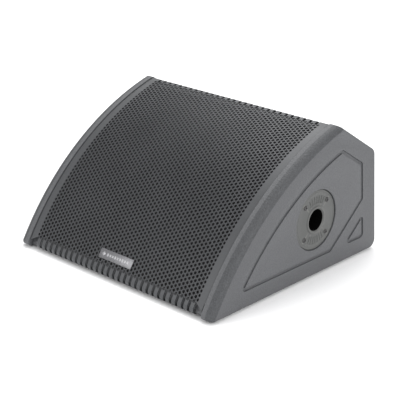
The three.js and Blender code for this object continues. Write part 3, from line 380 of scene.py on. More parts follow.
PLYWOOD = patterned(
    finish("birch plywood", (0.5, 0.35, 0.2), 0.6, grain=500.0),
    "TexWave", dict(wave_type="BANDS", bands_direction="Z", Scale=110.0, Distortion=3.0, Detail=3.0),
    "Fac", (0.36, 0.22, 0.11), (0.56, 0.4, 0.23), stretch=(0.12, 1, 1))
PAPER = patterned(
    finish("cone paper", (0.02, 0.02, 0.022), 0.85, grain=700.0),
    "TexNoise", dict(Scale=260.0, Detail=6.0, Roughness=0.7), "Fac", (0.012, 0.012, 0.013),
    (0.04, 0.04, 0.043))
CLOTH = patterned(
    finish("suspension cloth", (0.45, 0.3, 0.14), 0.8, grain=900.0),
    "TexWave", dict(wave_type="BANDS", bands_direction="X", Scale=420.0, Distortion=0.6), "Fac",
    (0.3, 0.19, 0.08), (0.55, 0.4, 0.2))
WINDING = patterned(
    finish("copper winding", (0.7, 0.27, 0.11), 0.3, metallic=0.9, grain=1500.0),
    "TexWave", dict(wave_type="BANDS", bands_direction="Y", Scale=330.0, Distortion=0.2), "Fac",
    (0.4, 0.13, 0.05), (0.8, 0.36, 0.15), depth=0.3)
FOAM = patterned(
    finish("open foam", (0.006, 0.006, 0.007), 1.0, grain=600.0, bump=0.8, depth=0.4),
    "TexVoronoi", dict(feature="F1", Scale=650.0), "Distance", (0.002, 0.002, 0.002),
    (0.014, 0.014, 0.015), span=(0.1, 0.7), depth=0.6)
WADDING = patterned(
    finish("wadding", (0.12, 0.12, 0.125), 1.0, grain=400.0, bump=0.8, depth=0.5),
    "TexNoise", dict(Scale=180.0, Detail=8.0, Roughness=0.8, Distortion=1.5), "Fac",
    (0.05, 0.05, 0.055), (0.22, 0.22, 0.23), depth=1.0)
BOARD = patterned(
    finish("circuit board", (0.02, 0.1, 0.04), 0.3, grain=1200.0),
    "TexBrick", dict(Scale=160.0), "Fac", (0.015, 0.085, 0.035), (0.03, 0.14, 0.06), depth=0.05)
FLEX = finish("lead insulation", (0.35, 0.03, 0.02), 0.5, grain=900.0)
LENS = finish("light pipe", (0.08, 0.4, 0.13), 0.15, drift=0.1, grain=1500.0, bump=0.05, Coat_Weight=0.4)
LATCH = finish("latch plastic", (0.4, 0.4, 0.41), 0.45, grain=1500.0)
print(len(bpy.data.materials), "finishes in all")

# %% [markdown]
# ## Camera, light and floor
# The set comes early so that every later step can be looked at. The lens is a long one at about two metres, which
# keeps the wedge's edges nearly parallel. One broad soft box above the crest side and a second in front of the
# socket cheek do the work, with a white world filling the shade, so the shadow on the floor stays faint.

# %% Camera
camera_data = bpy.data.cameras.new("camera")
camera_data.lens, camera_data.sensor_width = 108.1, 36.0
camera_data.shift_x, camera_data.shift_y = -0.026, -0.041
camera_data.clip_end = 50
camera = linked("camera", camera_data)
turn, lift, roll = (math.radians(v) for v in (42.02, 20.18, 1.02))
back = Vector((math.sin(turn) * math.cos(lift), -math.cos(turn) * math.cos(lift), math.sin(lift)))
right = Vector((math.cos(turn), math.sin(turn), 0))
up = back.cross(right)
aim = Matrix((right, up, back)).transposed() @ Matrix.Rotation(roll, 3, "Z")
camera.matrix_world = Matrix.Translation((1.2881, -1.4011, 0.8138)) @ aim.to_4x4()
bpy.context.scene.camera = camera
bpy.context.scene.view_settings.view_transform = "Standard"


# %% Lights and floor
def soft_box(name, place, target, size, power):
    data = bpy.data.lights.new(name, "AREA")
    data.shape = "RECTANGLE"
    data.size, data.size_y = size
    data.energy = power
    lamp = linked(name, data)
    lamp.location = place
    lamp.rotation_euler = (Vector(target) - Vector(place)).to_track_quat("-Z", "Y").to_euler()


soft_box("top box", (-0.6, 0.9, 2.6), (0, 0, 0.1), (2.2, 2.2), 62)
soft_box("cheek box", (2.6, -0.4, 1.3), (0.1, 0, 0.1), (1.6, 1.6), 42)
soft_box("front box", (-0.9, -2.6, 1.6), (0, 0, 0.1), (1.8, 1.4), 26)
world = bpy.data.worlds.new("studio")
bpy.context.scene.world = world
world.use_nodes = True
world.node_tree.nodes["Background"].inputs["Color"].default_value = (1, 1, 1, 1)
world.node_tree.nodes["Background"].inputs["Strength"].default_value = 0.75

floor_mesh = bmesh.new()
bmesh.ops.create_grid(floor_mesh, x_segments=1, y_segments=1, size=12)
floor_data = bpy.data.meshes.new("floor")
floor_mesh.to_mesh(floor_data)
floor_mesh.free()
floor = linked("floor", floor_data)
floor.location.z = -0.0005
floor_data.materials.append(finish("floor paper", (0.93, 0.93, 0.935), 0.9, drift=0.005, fleck=0.0, bump=0.02))
print("the camera looks from", [round(v, 3) for v in camera.location])

# %% [markdown]
# ## The cheeks
# Each cheek is one thick board with a generous roundover, and two shapes routed into it. A roundover wider than the
# board's own corners can't be bevelled, so we skin the board instead: the same side outline is drawn again and again,
# a little smaller each time, and each pair of outlines is joined by a strip of faces. A router leaves a channel with
# a rounded floor, and the same skinning makes its cutter as a closed ring, which the exact boolean then takes out.

# %% Points on the side view
def ray(angle):
    return Vector((math.cos(angle), math.sin(angle)))


def on_front(angle, inset=0.0):
    radius = FRONT_RADIUS - inset
    return Vector((CENTRE.x + radius * math.cos(angle), CENTRE.y + radius * math.sin(angle)))


def front_angle(point):
    return math.atan2(point.y - CENTRE.y, point.x - CENTRE.x)


def front_meets(point, direction, inset):
    """Where a straight line meets the front arc, inset by that much, nearest to the point."""
    from_centre = point - CENTRE
    b = from_centre.dot(direction)
    c = from_centre.length_squared - (FRONT_RADIUS - inset) ** 2
    roots = (-b - math.sqrt(b * b - c), -b + math.sqrt(b * b - c))
    return point + direction * min(roots, key=abs)


def lines_meet(p, u, q, v):
    cross = u.x * v.y - u.y * v.x
    return p + u * (((q - p).x * v.y - (q - p).y * v.x) / cross)


def rounded(point, before, after, radius, steps=8):
    """The points of an arc that rounds a corner, where the outline comes in from before and leaves to after."""
    way_in, way_out = (point - before).normalized(), (after - point).normalized()
    turn = way_in.angle(way_out)
    reach = radius * math.tan(turn / 2)
    side = 1 if way_in.x * way_out.y - way_in.y * way_out.x > 0 else -1
    hub = point - way_in * reach + Vector((-way_in.y, way_in.x)) * radius * side
    spoke = point - way_in * reach - hub
    return [hub + Matrix.Rotation(side * turn * i / steps, 2) @ spoke for i in range(steps + 1)]


def outline(corners, radii, arc_from, inset, steps=48):
    """A closed outline with rounded corners. It is straight, but follows the front from corner arc_from to the next."""
    points = []
    count = len(corners)
    for i, here in enumerate(corners):
        before, after = corners[i - 1], corners[(i + 1) % count]
        if i == arc_from:
            a = front_angle(here)
            after = here + Vector((math.sin(a), -math.cos(a))) * -1
        if arc_from is not None and i == (arc_from + 1) % count:
            a = front_angle(here)
            before = here + Vector((math.sin(a), -math.cos(a)))
        points += rounded(here, before, after, radii[i])
        if i == arc_from:
            start, end = front_angle(points[-1]), front_angle(corners[(i + 1) % count])
            trim = radii[(i + 1) % count] / FRONT_RADIUS
            points += [on_front(start + (end - trim - start) * k / steps, inset) for k in range(1, steps)]
    return points


def skinned(bm, loops, closed=False):
    """Joins outlines that have the same number of points with strips of faces, and caps the ends of an open row."""
    rows = [[bm.verts.new(point) for point in loop] for loop in loops]
    pairs = list(zip(rows, rows[1:])) + ([(rows[-1], rows[0])] if closed else [])
    for lower, upper in pairs:
        for i in range(len(lower)):
            j = (i + 1) % len(lower)
            bm.faces.new((lower[i], lower[j], upper[j], upper[i]))
    if not closed:
        bm.faces.new(rows[0])
        bm.faces.new(rows[-1])
    bmesh.ops.recalc_face_normals(bm, faces=bm.faces[:])
    return rows


# %% The cheek's outline, drawn in along the front curve and along the straight edges
def cheek_outline(front, edge, x):
    floor_line = Vector((0, TOE.y + edge))
    along = Vector((1, 0))
    back_line = BACK_FOOT - BACK_OUT * edge
    slope_line = CREST - SLOPE_OUT * edge
    corners = [lines_meet(floor_line, along, back_line, BACK_UP), lines_meet(back_line, BACK_UP, slope_line, SLOPE),
               front_meets(slope_line, SLOPE, front), front_meets(Vector((FRONT_Y, floor_line.y)), along, front)]
    tight = (front + edge) / 2
    radii = [BACK_CORNER - edge] * 2 + [max(radius - tight, LEAST_CORNER) for radius in (CREST_CORNER, TOE_CORNER)]
    return [(x, *p) for p in outline(corners, radii, 2, front, steps=64)]


def drawn_in(radius, depth):
    """How far a rounded edge of that radius has drawn in at a depth below the outer face."""
    return 0.0 if depth >= radius else radius - math.sqrt(radius ** 2 - (radius - depth) ** 2)


# %% The routed rings
GROOVE_WIDTH, GROOVE_DEPTH = 6 * MM, 3 * MM
FRONT_INSET, SLOPE_INSET, BACK_INSET, BOTTOM_INSET = 45.5 * MM, 33 * MM, 39 * MM, 31.5 * MM
BAND_FOOT, BAND_WIDTH, BAND_ANGLE = 295 * MM, 27 * MM, math.radians(40)


def routed_outlines(grow, x):
    floor_line = Vector((0, TOE.y + BOTTOM_INSET - grow))
    along = Vector((1, 0))
    back_line = BACK_FOOT - BACK_OUT * (BACK_INSET - grow)
    slope_line = CREST - SLOPE_OUT * (SLOPE_INSET - grow)
    band = ray(BAND_ANGLE)
    band_out = Vector((band.y, -band.x))
    foot = Vector((FRONT_Y + BAND_FOOT, TOE.y + BOTTOM_INSET))
    upper, lower = foot + band_out * grow, foot + band_out * (BAND_WIDTH - grow)
    inset = FRONT_INSET - grow
    big = [lines_meet(floor_line, along, upper, band), lines_meet(back_line, BACK_UP, upper, band),
           lines_meet(back_line, BACK_UP, slope_line, SLOPE), front_meets(slope_line, SLOPE, inset),
           front_meets(Vector((FRONT_Y + 90 * MM, floor_line.y)), along, inset)]
    small = [lines_meet(floor_line, along, lower, band), lines_meet(floor_line, along, back_line, BACK_UP),
             lines_meet(back_line, BACK_UP, lower, band)]
    radius = 4 * MM + grow
    for corners, arc_from in ((big, 3), (small, None)):
        yield [(x, *p) for p in outline(corners, [radius] * len(corners), arc_from, inset)]


def ring_cutters():
    half, soft = GROOVE_WIDTH / 2, 1.4 * MM
    section = [(half, 2 * MM)]
    for i in range(5):
        a = math.radians(90) * i / 4
        section.append((half - soft + soft * math.cos(a), -GROOVE_DEPTH + soft - soft * math.sin(a)))
    section += [(-grow, x) for grow, x in reversed(section)]
    made = [list(routed_outlines(grow, HALF_WIDTH + x)) for grow, x in section]
    for which in range(2):
        bm = bmesh.new()
        skinned(bm, [loops[which] for loops in made], closed=True)
        yield bm


# %% Build a cheek as if it were the right one
# The slot of the roundover's darker paint, and how far out from the cheek's inner face it starts. The darker tone is
# painted shade.
PAINTED_SHADE_INDEX = 1
PAINTED_SHADE_START = 7 * MM


def cheek(name, opening, mirror):
    depths = [ROUNDOVER * (1 - math.sin(math.radians(10 * i))) for i in range(10)]
    depths += [EDGE_ROUNDOVER * (1 - math.sin(math.radians(18 * i))) for i in range(1, 5)] + [CHEEK]
    bm = bmesh.new()
    skinned(bm, [cheek_outline(drawn_in(ROUNDOVER, depth), drawn_in(EDGE_ROUNDOVER, depth), HALF_WIDTH - depth)
                 for depth in sorted(depths, reverse=True)])
    for cutter in [*ring_cutters(), *opening()]:
        bm = carved(bm, cutter)
    # Faces on the cheek's front roundover get the second, darker paint. Its darker tone is painted shade on the rounded
    # edge.
    for face in bm.faces:
        middle = face.calc_center_median()
        from_front = FRONT_RADIUS - (Vector((middle.y, middle.z)) - CENTRE).length
        gets_painted_shade = INNER_X + PAINTED_SHADE_START < middle.x < HALF_WIDTH - 0.1 * MM
        face.material_index = PAINTED_SHADE_INDEX if gets_painted_shade and from_front < ROUNDOVER else 0
    if mirror:
        bmesh.ops.scale(bm, vec=(-1, 1, 1), verts=bm.verts)
        bmesh.ops.reverse_faces(bm, faces=bm.faces)
    bmesh.ops.remove_doubles(bm, verts=bm.verts, dist=1e-5)
    made = finished(bm, name, PAINT)
    made.data.materials.append(ROUNDOVER_PAINT_WITH_PAINTED_SHADE)
    return made


# %% Cut the socket's seat and the handle's window, and make both cheeks
low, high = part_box("pole_socket")
SOCKET_Y, SOCKET_Z = (low[1] + high[1]) / 2, (low[2] + high[2]) / 2
PLATE_R = (high[1] - low[1]) / 2 / MM
ON_CHEEK = Matrix.Rotation(math.pi / 2, 4, "Y")
AT_SOCKET = Matrix.Translation((HALF_WIDTH, SOCKET_Y, SOCKET_Z)) @ ON_CHEEK


def socket_seat():
    bm = bmesh.new()
    turned(bm, [(0, -30), (22.5, -30), (22.5, -5.5), (PLATE_R + 1, -5.5), (PLATE_R + 1, -0.7), (PLATE_R + 2.2, 0.6),
                (PLATE_R + 2.2, 4), (0, 4)], 96, AT_SOCKET)
    return [bm]


low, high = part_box("handle_cup")
HANDLE_Y, HANDLE_Z = (low[1] + high[1]) / 2, (low[2] + high[2]) / 2
HANDLE_W, HANDLE_H = (high[1] - low[1]) / MM, (high[2] - low[2]) / MM


def handle_window():
    window, recess = bmesh.new(), bmesh.new()
    place = Matrix.Translation((HALF_WIDTH, HANDLE_Y, HANDLE_Z))
    block(window, (80, 95, 55), place=place)
    block(recess, (9, HANDLE_W + 1, HANDLE_H + 1), place=place)
    return [window, recess]


stand_for(cheek("cheek_right", socket_seat, mirror=False), "cabinet_paint", "side_panel_right")
stand_for(cheek("cheek_left", handle_window, mirror=True), "cabinet_paint", "side_panel_left")

# %% [markdown]
# ## The perforated grille
# The front is one sheet of steel with round holes in staggered rows, rolled to the cheeks' arc, folded over the crest
# and tucked under the toe. A hole in a staggered pattern sits in a hexagonal cell, so the sheet is made flat from one
# cell: a ring of faces between a hexagon and a circle, copied up one column and then across. The border is pulled out
# from the cells' edge, the sides are folded, and at last every point of the flat sheet is moved onto the rolled
# path. A Solidify modifier then gives the steel its thickness, which is what makes the holes look deep from the side.

# %% The rolled path
SHEET_RECESS = 1.5 * MM
SHEET_THICK = 1.6 * MM
NOSE_RADIUS, CREST_BEND = 8 * MM, 6 * MM
LIP = 22 * MM
SHEET_R = FRONT_RADIUS - SHEET_RECESS
nose_z = 3.3 * MM + NOSE_RADIUS
nose_y = CENTRE.x - math.sqrt((SHEET_R - NOSE_RADIUS) ** 2 - (nose_z - CENTRE.y) ** 2)
NOSE_CENTRE = Vector((nose_y, nose_z))
inner_line = CREST - SLOPE_OUT * (SHEET_RECESS + CREST_BEND)
CREST_CENTRE = front_meets(inner_line, SLOPE, SHEET_RECESS + CREST_BEND)
foot_angle = front_angle(NOSE_CENTRE)
top_angle = front_angle(CREST_CENTRE)
SLOPE_ANGLE = math.atan2(SLOPE_OUT.y, SLOPE_OUT.x)
ARC_LENGTH = SHEET_R * (foot_angle - top_angle)
NOSE_LENGTH = NOSE_RADIUS * (3 * math.pi / 2 - foot_angle)
BEND_LENGTH = CREST_BEND * (top_angle - SLOPE_ANGLE)


def rolled(s, out):
    """The side-view point at a length s up the sheet from the arc's foot, and out from its face."""
    if s < -NOSE_LENGTH:
        return NOSE_CENTRE + Vector((-NOSE_LENGTH - s, -NOSE_RADIUS - out))
    if s < 0:
        angle = foot_angle - s / NOSE_RADIUS
        return NOSE_CENTRE + ray(angle) * (NOSE_RADIUS + out)
    if s <= ARC_LENGTH:
        angle = foot_angle - s / SHEET_R
        return CENTRE + ray(angle) * (SHEET_R + out)
    if s < ARC_LENGTH + BEND_LENGTH:
        angle = top_angle - (s - ARC_LENGTH) / CREST_BEND
        return CREST_CENTRE + ray(angle) * (CREST_BEND + out)
    return CREST_CENTRE + SLOPE_OUT * (CREST_BEND + out) + SLOPE * (s - ARC_LENGTH - BEND_LENGTH)


print("the sheet's rolled front is", round(ARC_LENGTH / MM), "mm long")

# %% One cell, one column, then the whole field of holes
# A known fault: the two turns below stand each hexagon on its corner, while the columns need it to lie on a side.
# So the cells overlap instead of sharing edges, and the border pulled out from them is a comb and not a plain band.
PITCH = 7.31 * MM
COLUMN = PITCH * math.sqrt(3) / 2
HOLE = 2.86 * MM
COLUMNS = 29
FIRST_ROW = 10 * MM
ROWS = int((ARC_LENGTH - FIRST_ROW - 4 * MM) / PITCH)


def copies(bm, geom, step, count):
    """Repeats geometry by doubling the copies, which needs far fewer calls than one at a time."""
    made = list(geom)
    done = 1
    while done < count:
        batch = made if 2 * done <= count else made[:len(geom) * (count - done)]
        new = bmesh.ops.duplicate(bm, geom=batch)["geom"]
        bmesh.ops.translate(bm, vec=Vector(step) * done, verts=[v for v in new if isinstance(v, bmesh.types.BMVert)])
        ordered = [f for f in new if isinstance(f, bmesh.types.BMFace)]
        made = made + ordered
        done = len(made) // len(geom)
    return made


def hole_field():
    bm = bmesh.new()
    outer = bmesh.ops.create_circle(bm, segments=6, radius=PITCH / math.sqrt(3))["verts"]
    bmesh.ops.rotate(bm, verts=outer, matrix=Matrix.Rotation(math.radians(30), 3, "Z"))
    bmesh.ops.create_circle(bm, segments=12, radius=HOLE)
    bmesh.ops.bridge_loops(bm, edges=bm.edges[:])
    bmesh.ops.rotate(bm, verts=bm.verts, matrix=Matrix.Rotation(math.radians(30), 3, "Z"))
    bmesh.ops.translate(bm, vec=(-(COLUMNS - 1) * COLUMN, FIRST_ROW, 0), verts=bm.verts)
    column = copies(bm, bm.faces[:], (0, PITCH, 0), ROWS)
    copies(bm, column, (2 * COLUMN, 0, 0), COLUMNS)
    odd = bmesh.ops.duplicate(bm, geom=column)["geom"]
    bmesh.ops.translate(bm, vec=(-COLUMN, PITCH / 2, 0), verts=[v for v in odd if isinstance(v, bmesh.types.BMVert)])
    copies(bm, [f for f in odd if isinstance(f, bmesh.types.BMFace)], (2 * COLUMN, 0, 0), COLUMNS + 1)
    bmesh.ops.remove_doubles(bm, verts=bm.verts, dist=0.02 * MM)
    return bm


# %% Border, folds and roll
SHEET_X = 199 * MM
FLANGE = 7 * MM


def pulled_edge(bm, edges, place):
    """Extrudes edges and moves each new point to where place puts it. Gives the new edges."""
    made = bmesh.ops.extrude_edge_only(bm, edges=edges)["geom"]
    for vert in (v for v in made if isinstance(v, bmesh.types.BMVert)):
        vert.co = place(vert.co)
    return [e for e in made if isinstance(e, bmesh.types.BMEdge)]


def perforated_sheet():
    bm = hole_field()
    reach_x = COLUMNS * COLUMN - 0.1 * MM
    low_y = min(v.co.y for v in bm.verts)
    high_y = max(v.co.y for v in bm.verts)
    near = PITCH * 0.62

    def zone(co):
        side = (co.x > reach_x) - (co.x < -reach_x)
        end = (co.y > high_y - near) - (co.y < low_y + near)
        return side, end

    border = [e for e in bm.edges if len(e.link_faces) == 1 and e.calc_length() > HOLE
              and all(any(zone(v.co)) for v in e.verts)]

    def flat_border(co):
        side, end = zone(co)
        y = 0.0 if end < 0 else ARC_LENGTH if end > 0 else co.y
        x = side * SHEET_X if side else co.x
        return Vector((x, y, 0))

    pulled_edge(bm, border, flat_border)
    bmesh.ops.remove_doubles(bm, verts=bm.verts, dist=0.01 * MM)
    for sign, end, steps in ((-1, -NOSE_LENGTH, 8), (1, ARC_LENGTH + BEND_LENGTH, 6)):
        start = 0.0 if sign < 0 else ARC_LENGTH
        row = [e for e in bm.edges if len(e.link_faces) == 1 and all(abs(v.co.y - start) < 1e-6 for v in e.verts)]
        for i in range(steps):
            row = pulled_edge(bm, row, lambda co: Vector((co.x, start + (end - start) * (i + 1) / steps, 0)))
        pulled_edge(bm, row, lambda co: Vector((co.x, end + sign * LIP, 0)))
    sides = [e for e in bm.edges if len(e.link_faces) == 1 and all(abs(v.co.x) > SHEET_X - 1e-6
             and 8 * MM < v.co.y < ARC_LENGTH - 3 * MM for v in e.verts)]
    fold = 1.2 * MM
    step = math.radians(22.5)
    for k in range(1, 5):
        shift = fold * (math.sin(step * k) - math.sin(step * (k - 1)))
        drop = fold * (math.cos(step * k) - math.cos(step * (k - 1)))
        sides = pulled_edge(bm, sides, lambda co: Vector((co.x + math.copysign(shift, co.x), co.y, co.z + drop)))
    pulled_edge(bm, sides, lambda co: Vector((co.x, co.y, -FLANGE)))
    squeeze = SHEET_X / (SHEET_X + fold)
    for vert in bm.verts:
        x, s, out = vert.co
        y, z = rolled(s, out)
        vert.co = ((x if abs(x) < reach_x else x * squeeze), y, z)
    bmesh.ops.recalc_face_normals(bm, faces=bm.faces)
    return bm


sheet_mesh = perforated_sheet()
if sum(f.normal.y for f in sheet_mesh.faces) > 0:
    bmesh.ops.reverse_faces(sheet_mesh, faces=sheet_mesh.faces)
grille = finished(sheet_mesh, "perforated_grille", STEEL, sharp=50)
# The faces stay flat, because normals shared along the long faces of the border streak its sides.
for facet in grille.data.polygons:
    facet.use_smooth = False
steel = grille.modifiers.new("steel", "SOLIDIFY")
steel.thickness = SHEET_THICK
steel.offset = -1
stand_for(grille, "grille_steel", "grille")
print("holes:", ROWS * (2 * COLUMNS + 1))

# %% [markdown]
# ## The boards, the foam and the badge
# The boards between the cheeks already have their shape in the solids, so each of them is softened along its edges
# and painted; the baffle stays bare plywood. The foam is one curved sheet with a lively open face, and the badge is
# a plain plate with a raised rim, a bright lozenge and a row of raised bars where a name would be.

# %% Boards
for name in ("base_panel", "slope_panel", "back_panel", "nose_rail", "crest_rail"):
    stand_for(softened(name, "painted " + name, PAINT, width=0.8), "cabinet_paint", name)
stand_for(softened("baffle", "baffle board", PLYWOOD, width=0.6), "raw_plywood", "baffle")

# %% Foam behind the grille
low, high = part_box("grille_foam")
FOAM_X = high[0]
foam_inset = SHEET_RECESS + SHEET_THICK + 0.3 * MM


def foam_sheet():
    bm = bmesh.new()
    bmesh.ops.create_grid(bm, x_segments=90, y_segments=90, size=0.5)
    start, end = top_angle + 0.03, foot_angle - 0.03
    for vert in bm.verts:
        u, v = vert.co.x + 0.5, vert.co.y + 0.5
        ripple = 0.25 * MM * math.sin(41 * u + 17 * v) * math.sin(37 * v)
        y, z = on_front(start + (end - start) * v, foam_inset + 0.3 * MM + ripple)
        vert.co = ((2 * u - 1) * FOAM_X, y, z)
    bmesh.ops.solidify(bm, geom=bm.faces[:] + bm.edges[:] + bm.verts[:], thickness=4.6 * MM)
    bmesh.ops.recalc_face_normals(bm, faces=bm.faces)
    return bm


foam = add_piece(foam_sheet(), "foam sheet", FOAM, "grille_foam", "grille_foam")
print("the foam fills", [round(v, 3) for v in foam.dimensions])
print("and its solid", [round(b - a, 3) for a, b in zip(low, high)])

# %% Badge
badge_z = TOE.y + 34 * MM
badge_at = on_front(math.pi - math.asin((badge_z - CENTRE.y) / (FRONT_RADIUS - SHEET_RECESS)), SHEET_RECESS)
badge_out = (badge_at - CENTRE).normalized()
badge_up = Vector((-badge_out.y, badge_out.x)) * -1


def stood(point, up, out, x=0.0, right=1):
    """Axes that stand on a point of the side view: x runs to the right, y follows up and z follows out."""
    made = Matrix(((right, 0, 0), (0, *up), (0, *out))).transposed().to_4x4()
    made.translation = (x, *point)
    return made


AT_BADGE = stood(badge_at, badge_up, badge_out)
bm = bmesh.new()
block(bm, (74, 16, 0.9), (0, 0, 0.75), 0.35, place=AT_BADGE)
for x, y in ((0, 7.6), (0, -7.6), (36.6, 0), (-36.6, 0)):
    block(bm, (0.7, 15.9, 0.3) if x else (74, 0.7, 0.3), (x, y, 1.33), 0.12, place=AT_BADGE)
add_piece(bm, "badge", BADGE, "badge_metal", "badge_plate")
bm = bmesh.new()
lozenge = Matrix.Translation((-28 * MM, 0, 1.25 * MM)) @ Matrix.Rotation(math.radians(45), 4, "Z")
block(bm, (5.4, 5.4, 0.4), bevel=0.15, place=AT_BADGE @ lozenge)
for i in range(9):
    block(bm, (3.6, 4.2 if i % 3 else 5.4, 0.3), (-19 + 5.6 * i, 0, 1.25), 0.1, place=AT_BADGE)
add_piece(bm, "badge relief", BADGE_MARK, "badge_metal")

# %% [markdown]
# ## Screws
# Every screw is the same pan head with a six-sided socket. The head is spun, the socket is cut by a six-sided bar,
# and the plain shank below is what bites into the board. One function places them all.

# %% Screws
SCREW_CIRCLE = 39 * MM


def screw(name, node_name, place, head=1.8):
    bm = bmesh.new()
    turned(bm, [(0, -12), (1, -12), (2, -9), (2, 0), (3.9, 0), (4, 0.3), (3.7, 0.62 * head), (2.9, 0.9 * head),
                (2.1, head), (0, head)], 40, place)
    driver = bmesh.new()
    bmesh.ops.create_cone(driver, cap_ends=True, segments=6, radius1=1.5 * MM, radius2=1.5 * MM, depth=2.6 * MM,
                          matrix=place @ Matrix.Translation((0, 0, head * MM)))
    add_piece(carved(bm, driver), name, SCREW, "black_screw", node_name)


def socket_screw_place(i, z=0.0):
    a = math.radians(45 + 90 * i)
    return AT_SOCKET @ Matrix.Translation((SCREW_CIRCLE * math.cos(a), SCREW_CIRCLE * math.sin(a), z))


def handle_screw_place(i, sink=0.0):
    low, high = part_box(f"handle_screw_{i + 1}")
    at = (-HALF_WIDTH + sink, (low[1] + high[1]) / 2, (low[2] + high[2]) / 2)
    return Matrix.Translation(at) @ Matrix.Rotation(-math.pi / 2, 4, "Y")


lip_spot = CREST + SLOPE * 15 * MM + SLOPE_OUT * (-SHEET_RECESS + 0.1 * MM)
for i, x in enumerate((-150, 0, 150), 1):
    screw(f"lip screw {i}", f"grille_screw_{i}", stood(lip_spot, SLOPE, SLOPE_OUT, x * MM))
for i in range(4):
    screw(f"socket fixing {i + 1}", f"socket_screw_{i + 1}", socket_screw_place(i, -1.9 * MM))
    screw(f"handle fixing {i + 1}", f"handle_screw_{i + 1}", handle_screw_place(i, 1.6 * MM), head=1.6)

# %% [markdown]
# ## The pole socket
# The socket is one moulding: a round plate with a raised collar, and a closed tube that guides the pole. Two fans of
# shallow pockets lighten the plate above and below the bore. The bore's wall sees no light, so it has its own black.

# %% Pole socket
BORE_WALL = 18.6 * MM


def pole_socket():
    bm = bmesh.new()
    turned(bm, [(0, -80), (20.2, -80), (21.2, -79), (21.2, -5), (49, -5), (PLATE_R, -4.6), (PLATE_R, -2.6),
                (49.4, -2.1), (48.6, -2), (47.4, -2), (47, -2.3), (46.4, -2.3), (46, -2), (24.4, -2), (23.4, -1.4),
                (23, -0.4), (22.4, 0), (20.3, 0), (18.2, -2), (18.2, -77), (0, -77)], 96, AT_SOCKET)
    cutter = bmesh.new()
    for i in range(4):
        pin(cutter, 2.3, -13, 1, 24, socket_screw_place(i))
    for side in (0, 180):
        for i in range(7):
            swing = AT_SOCKET @ Matrix.Rotation(math.radians(side + (i - 3) * 9.5), 4, "Z")
            block(cutter, (13, 3.4, 1.6), (34.5, 0, -2), 0.6, place=swing)
    made = finished(carved(bm, cutter), "socket moulding", SOCKET)
    made.data.materials.append(BORE)
    for face in made.data.polygons:
        away = math.hypot(face.center.y - SOCKET_Y, face.center.z - SOCKET_Z)
        face.material_index = 1 if away < BORE_WALL and face.center.x < HALF_WIDTH - 2 * MM else 0
    return made


stand_for(pole_socket(), "socket_plastic", "pole_socket")

# %% [markdown]
# ## Handle and feet
# The cup is a deep tray with a flat rim, its grip is a rubber sleeve with rings moulded into it, and each foot is a
# turned puck with a ring pressed into its sole and a recess for its screw.

# %% Cup handle
def handle_cup():
    bm = bmesh.new()
    at = Matrix.Translation((-HALF_WIDTH, HANDLE_Y, HANDLE_Z))
    block(bm, (2.5, 114, 72), (2.95, 0, 0), 0.9, 3, at)
    body, inner = bmesh.new(), bmesh.new()
    block(body, (35.4, 94, 54), (20.3, 0, 0), 2.5, 3, at)
    bm = carved(bm, body, "UNION")
    block(inner, (40, 88, 48), (15, 0, 0), 6, 5, at)
    for i in range(4):
        pin(inner, 2.3, -20, 5, 20, handle_screw_place(i))
    return finished(carved(bm, inner), "cup moulding", PLASTIC)


stand_for(handle_cup(), "black_plastic", "handle_cup")
low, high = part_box("handle_bar")
half, bar_r = (high[1] - low[1]) / 2 / MM, (high[2] - low[2]) / 2 / MM
profile = [(0, -half), (bar_r - 1, -half), (bar_r, -half + 1)]
for i in range(-9, 10):
    profile += [(bar_r - depth, (i + part) * 3.8) for depth, part in ((0, -0.3), (0.7, -0.15), (0.7, 0.15), (0, 0.3))]
profile += [(bar_r, half - 1), (bar_r - 1, half), (0, half)]
bm = bmesh.new()
middle = Matrix.Translation([(a + b) / 2 for a, b in zip(low, high)])
turned(bm, profile, 48, middle @ Matrix.Rotation(-math.pi / 2, 4, "X"))
add_piece(bm, "grip sleeve", RUBBER, "handle_rubber", "handle_bar")

# %% Feet
for i in range(1, 5):
    low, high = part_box(f"foot_{i}")
    r, top = (high[0] - low[0]) / 2 / MM, high[2] / MM
    bm = bmesh.new()
    turned(bm, [(0, 3), (4.4, 3), (5, 2.4), (5, 0.3), (5.3, 0), (9, 0), (9.4, 0.5), (10.4, 0.5), (10.8, 0), (r - 2, 0),
                (r - 0.6, 0.5), (r, 1.9), (r, top), (0, top)], 64,
           Matrix.Translation(((low[0] + high[0]) / 2, (low[1] + high[1]) / 2, 0)))
    add_piece(bm, f"rubber foot {i}", RUBBER, "foot_rubber", f"foot_{i}")

# %% [markdown]
# ## The coaxial driver
# The driver lies along the baffle's own axis. Almost all of it is turned: the frame, the rubber roll, the paper cone,
# the pleated suspension, the magnet's plates and the little horn in the middle. The cone and its coil ride together
# on the moving body; everything else belongs to the cabinet.

# %% Where the driver sits
BAFFLE_BEHIND_CHORD, DRIVER_UP = 10 * MM, 35 * MM
driver_spot = (TOE + CREST) / 2 + INWARD * BAFFLE_BEHIND_CHORD + BAFFLE_UP * DRIVER_UP
AT_DRIVER = stood(driver_spot, BAFFLE_UP, -INWARD)


def lathe(name, material, slot, profile, node_name, steps=96, body="cabinet", place=AT_DRIVER):
    bm = bmesh.new()
    turned(bm, profile, steps, place)
    add_piece(bm, name, material, slot, node_name, body=body)


def spun(degrees):
    return AT_DRIVER @ Matrix.Rotation(math.radians(degrees), 4, "Z")


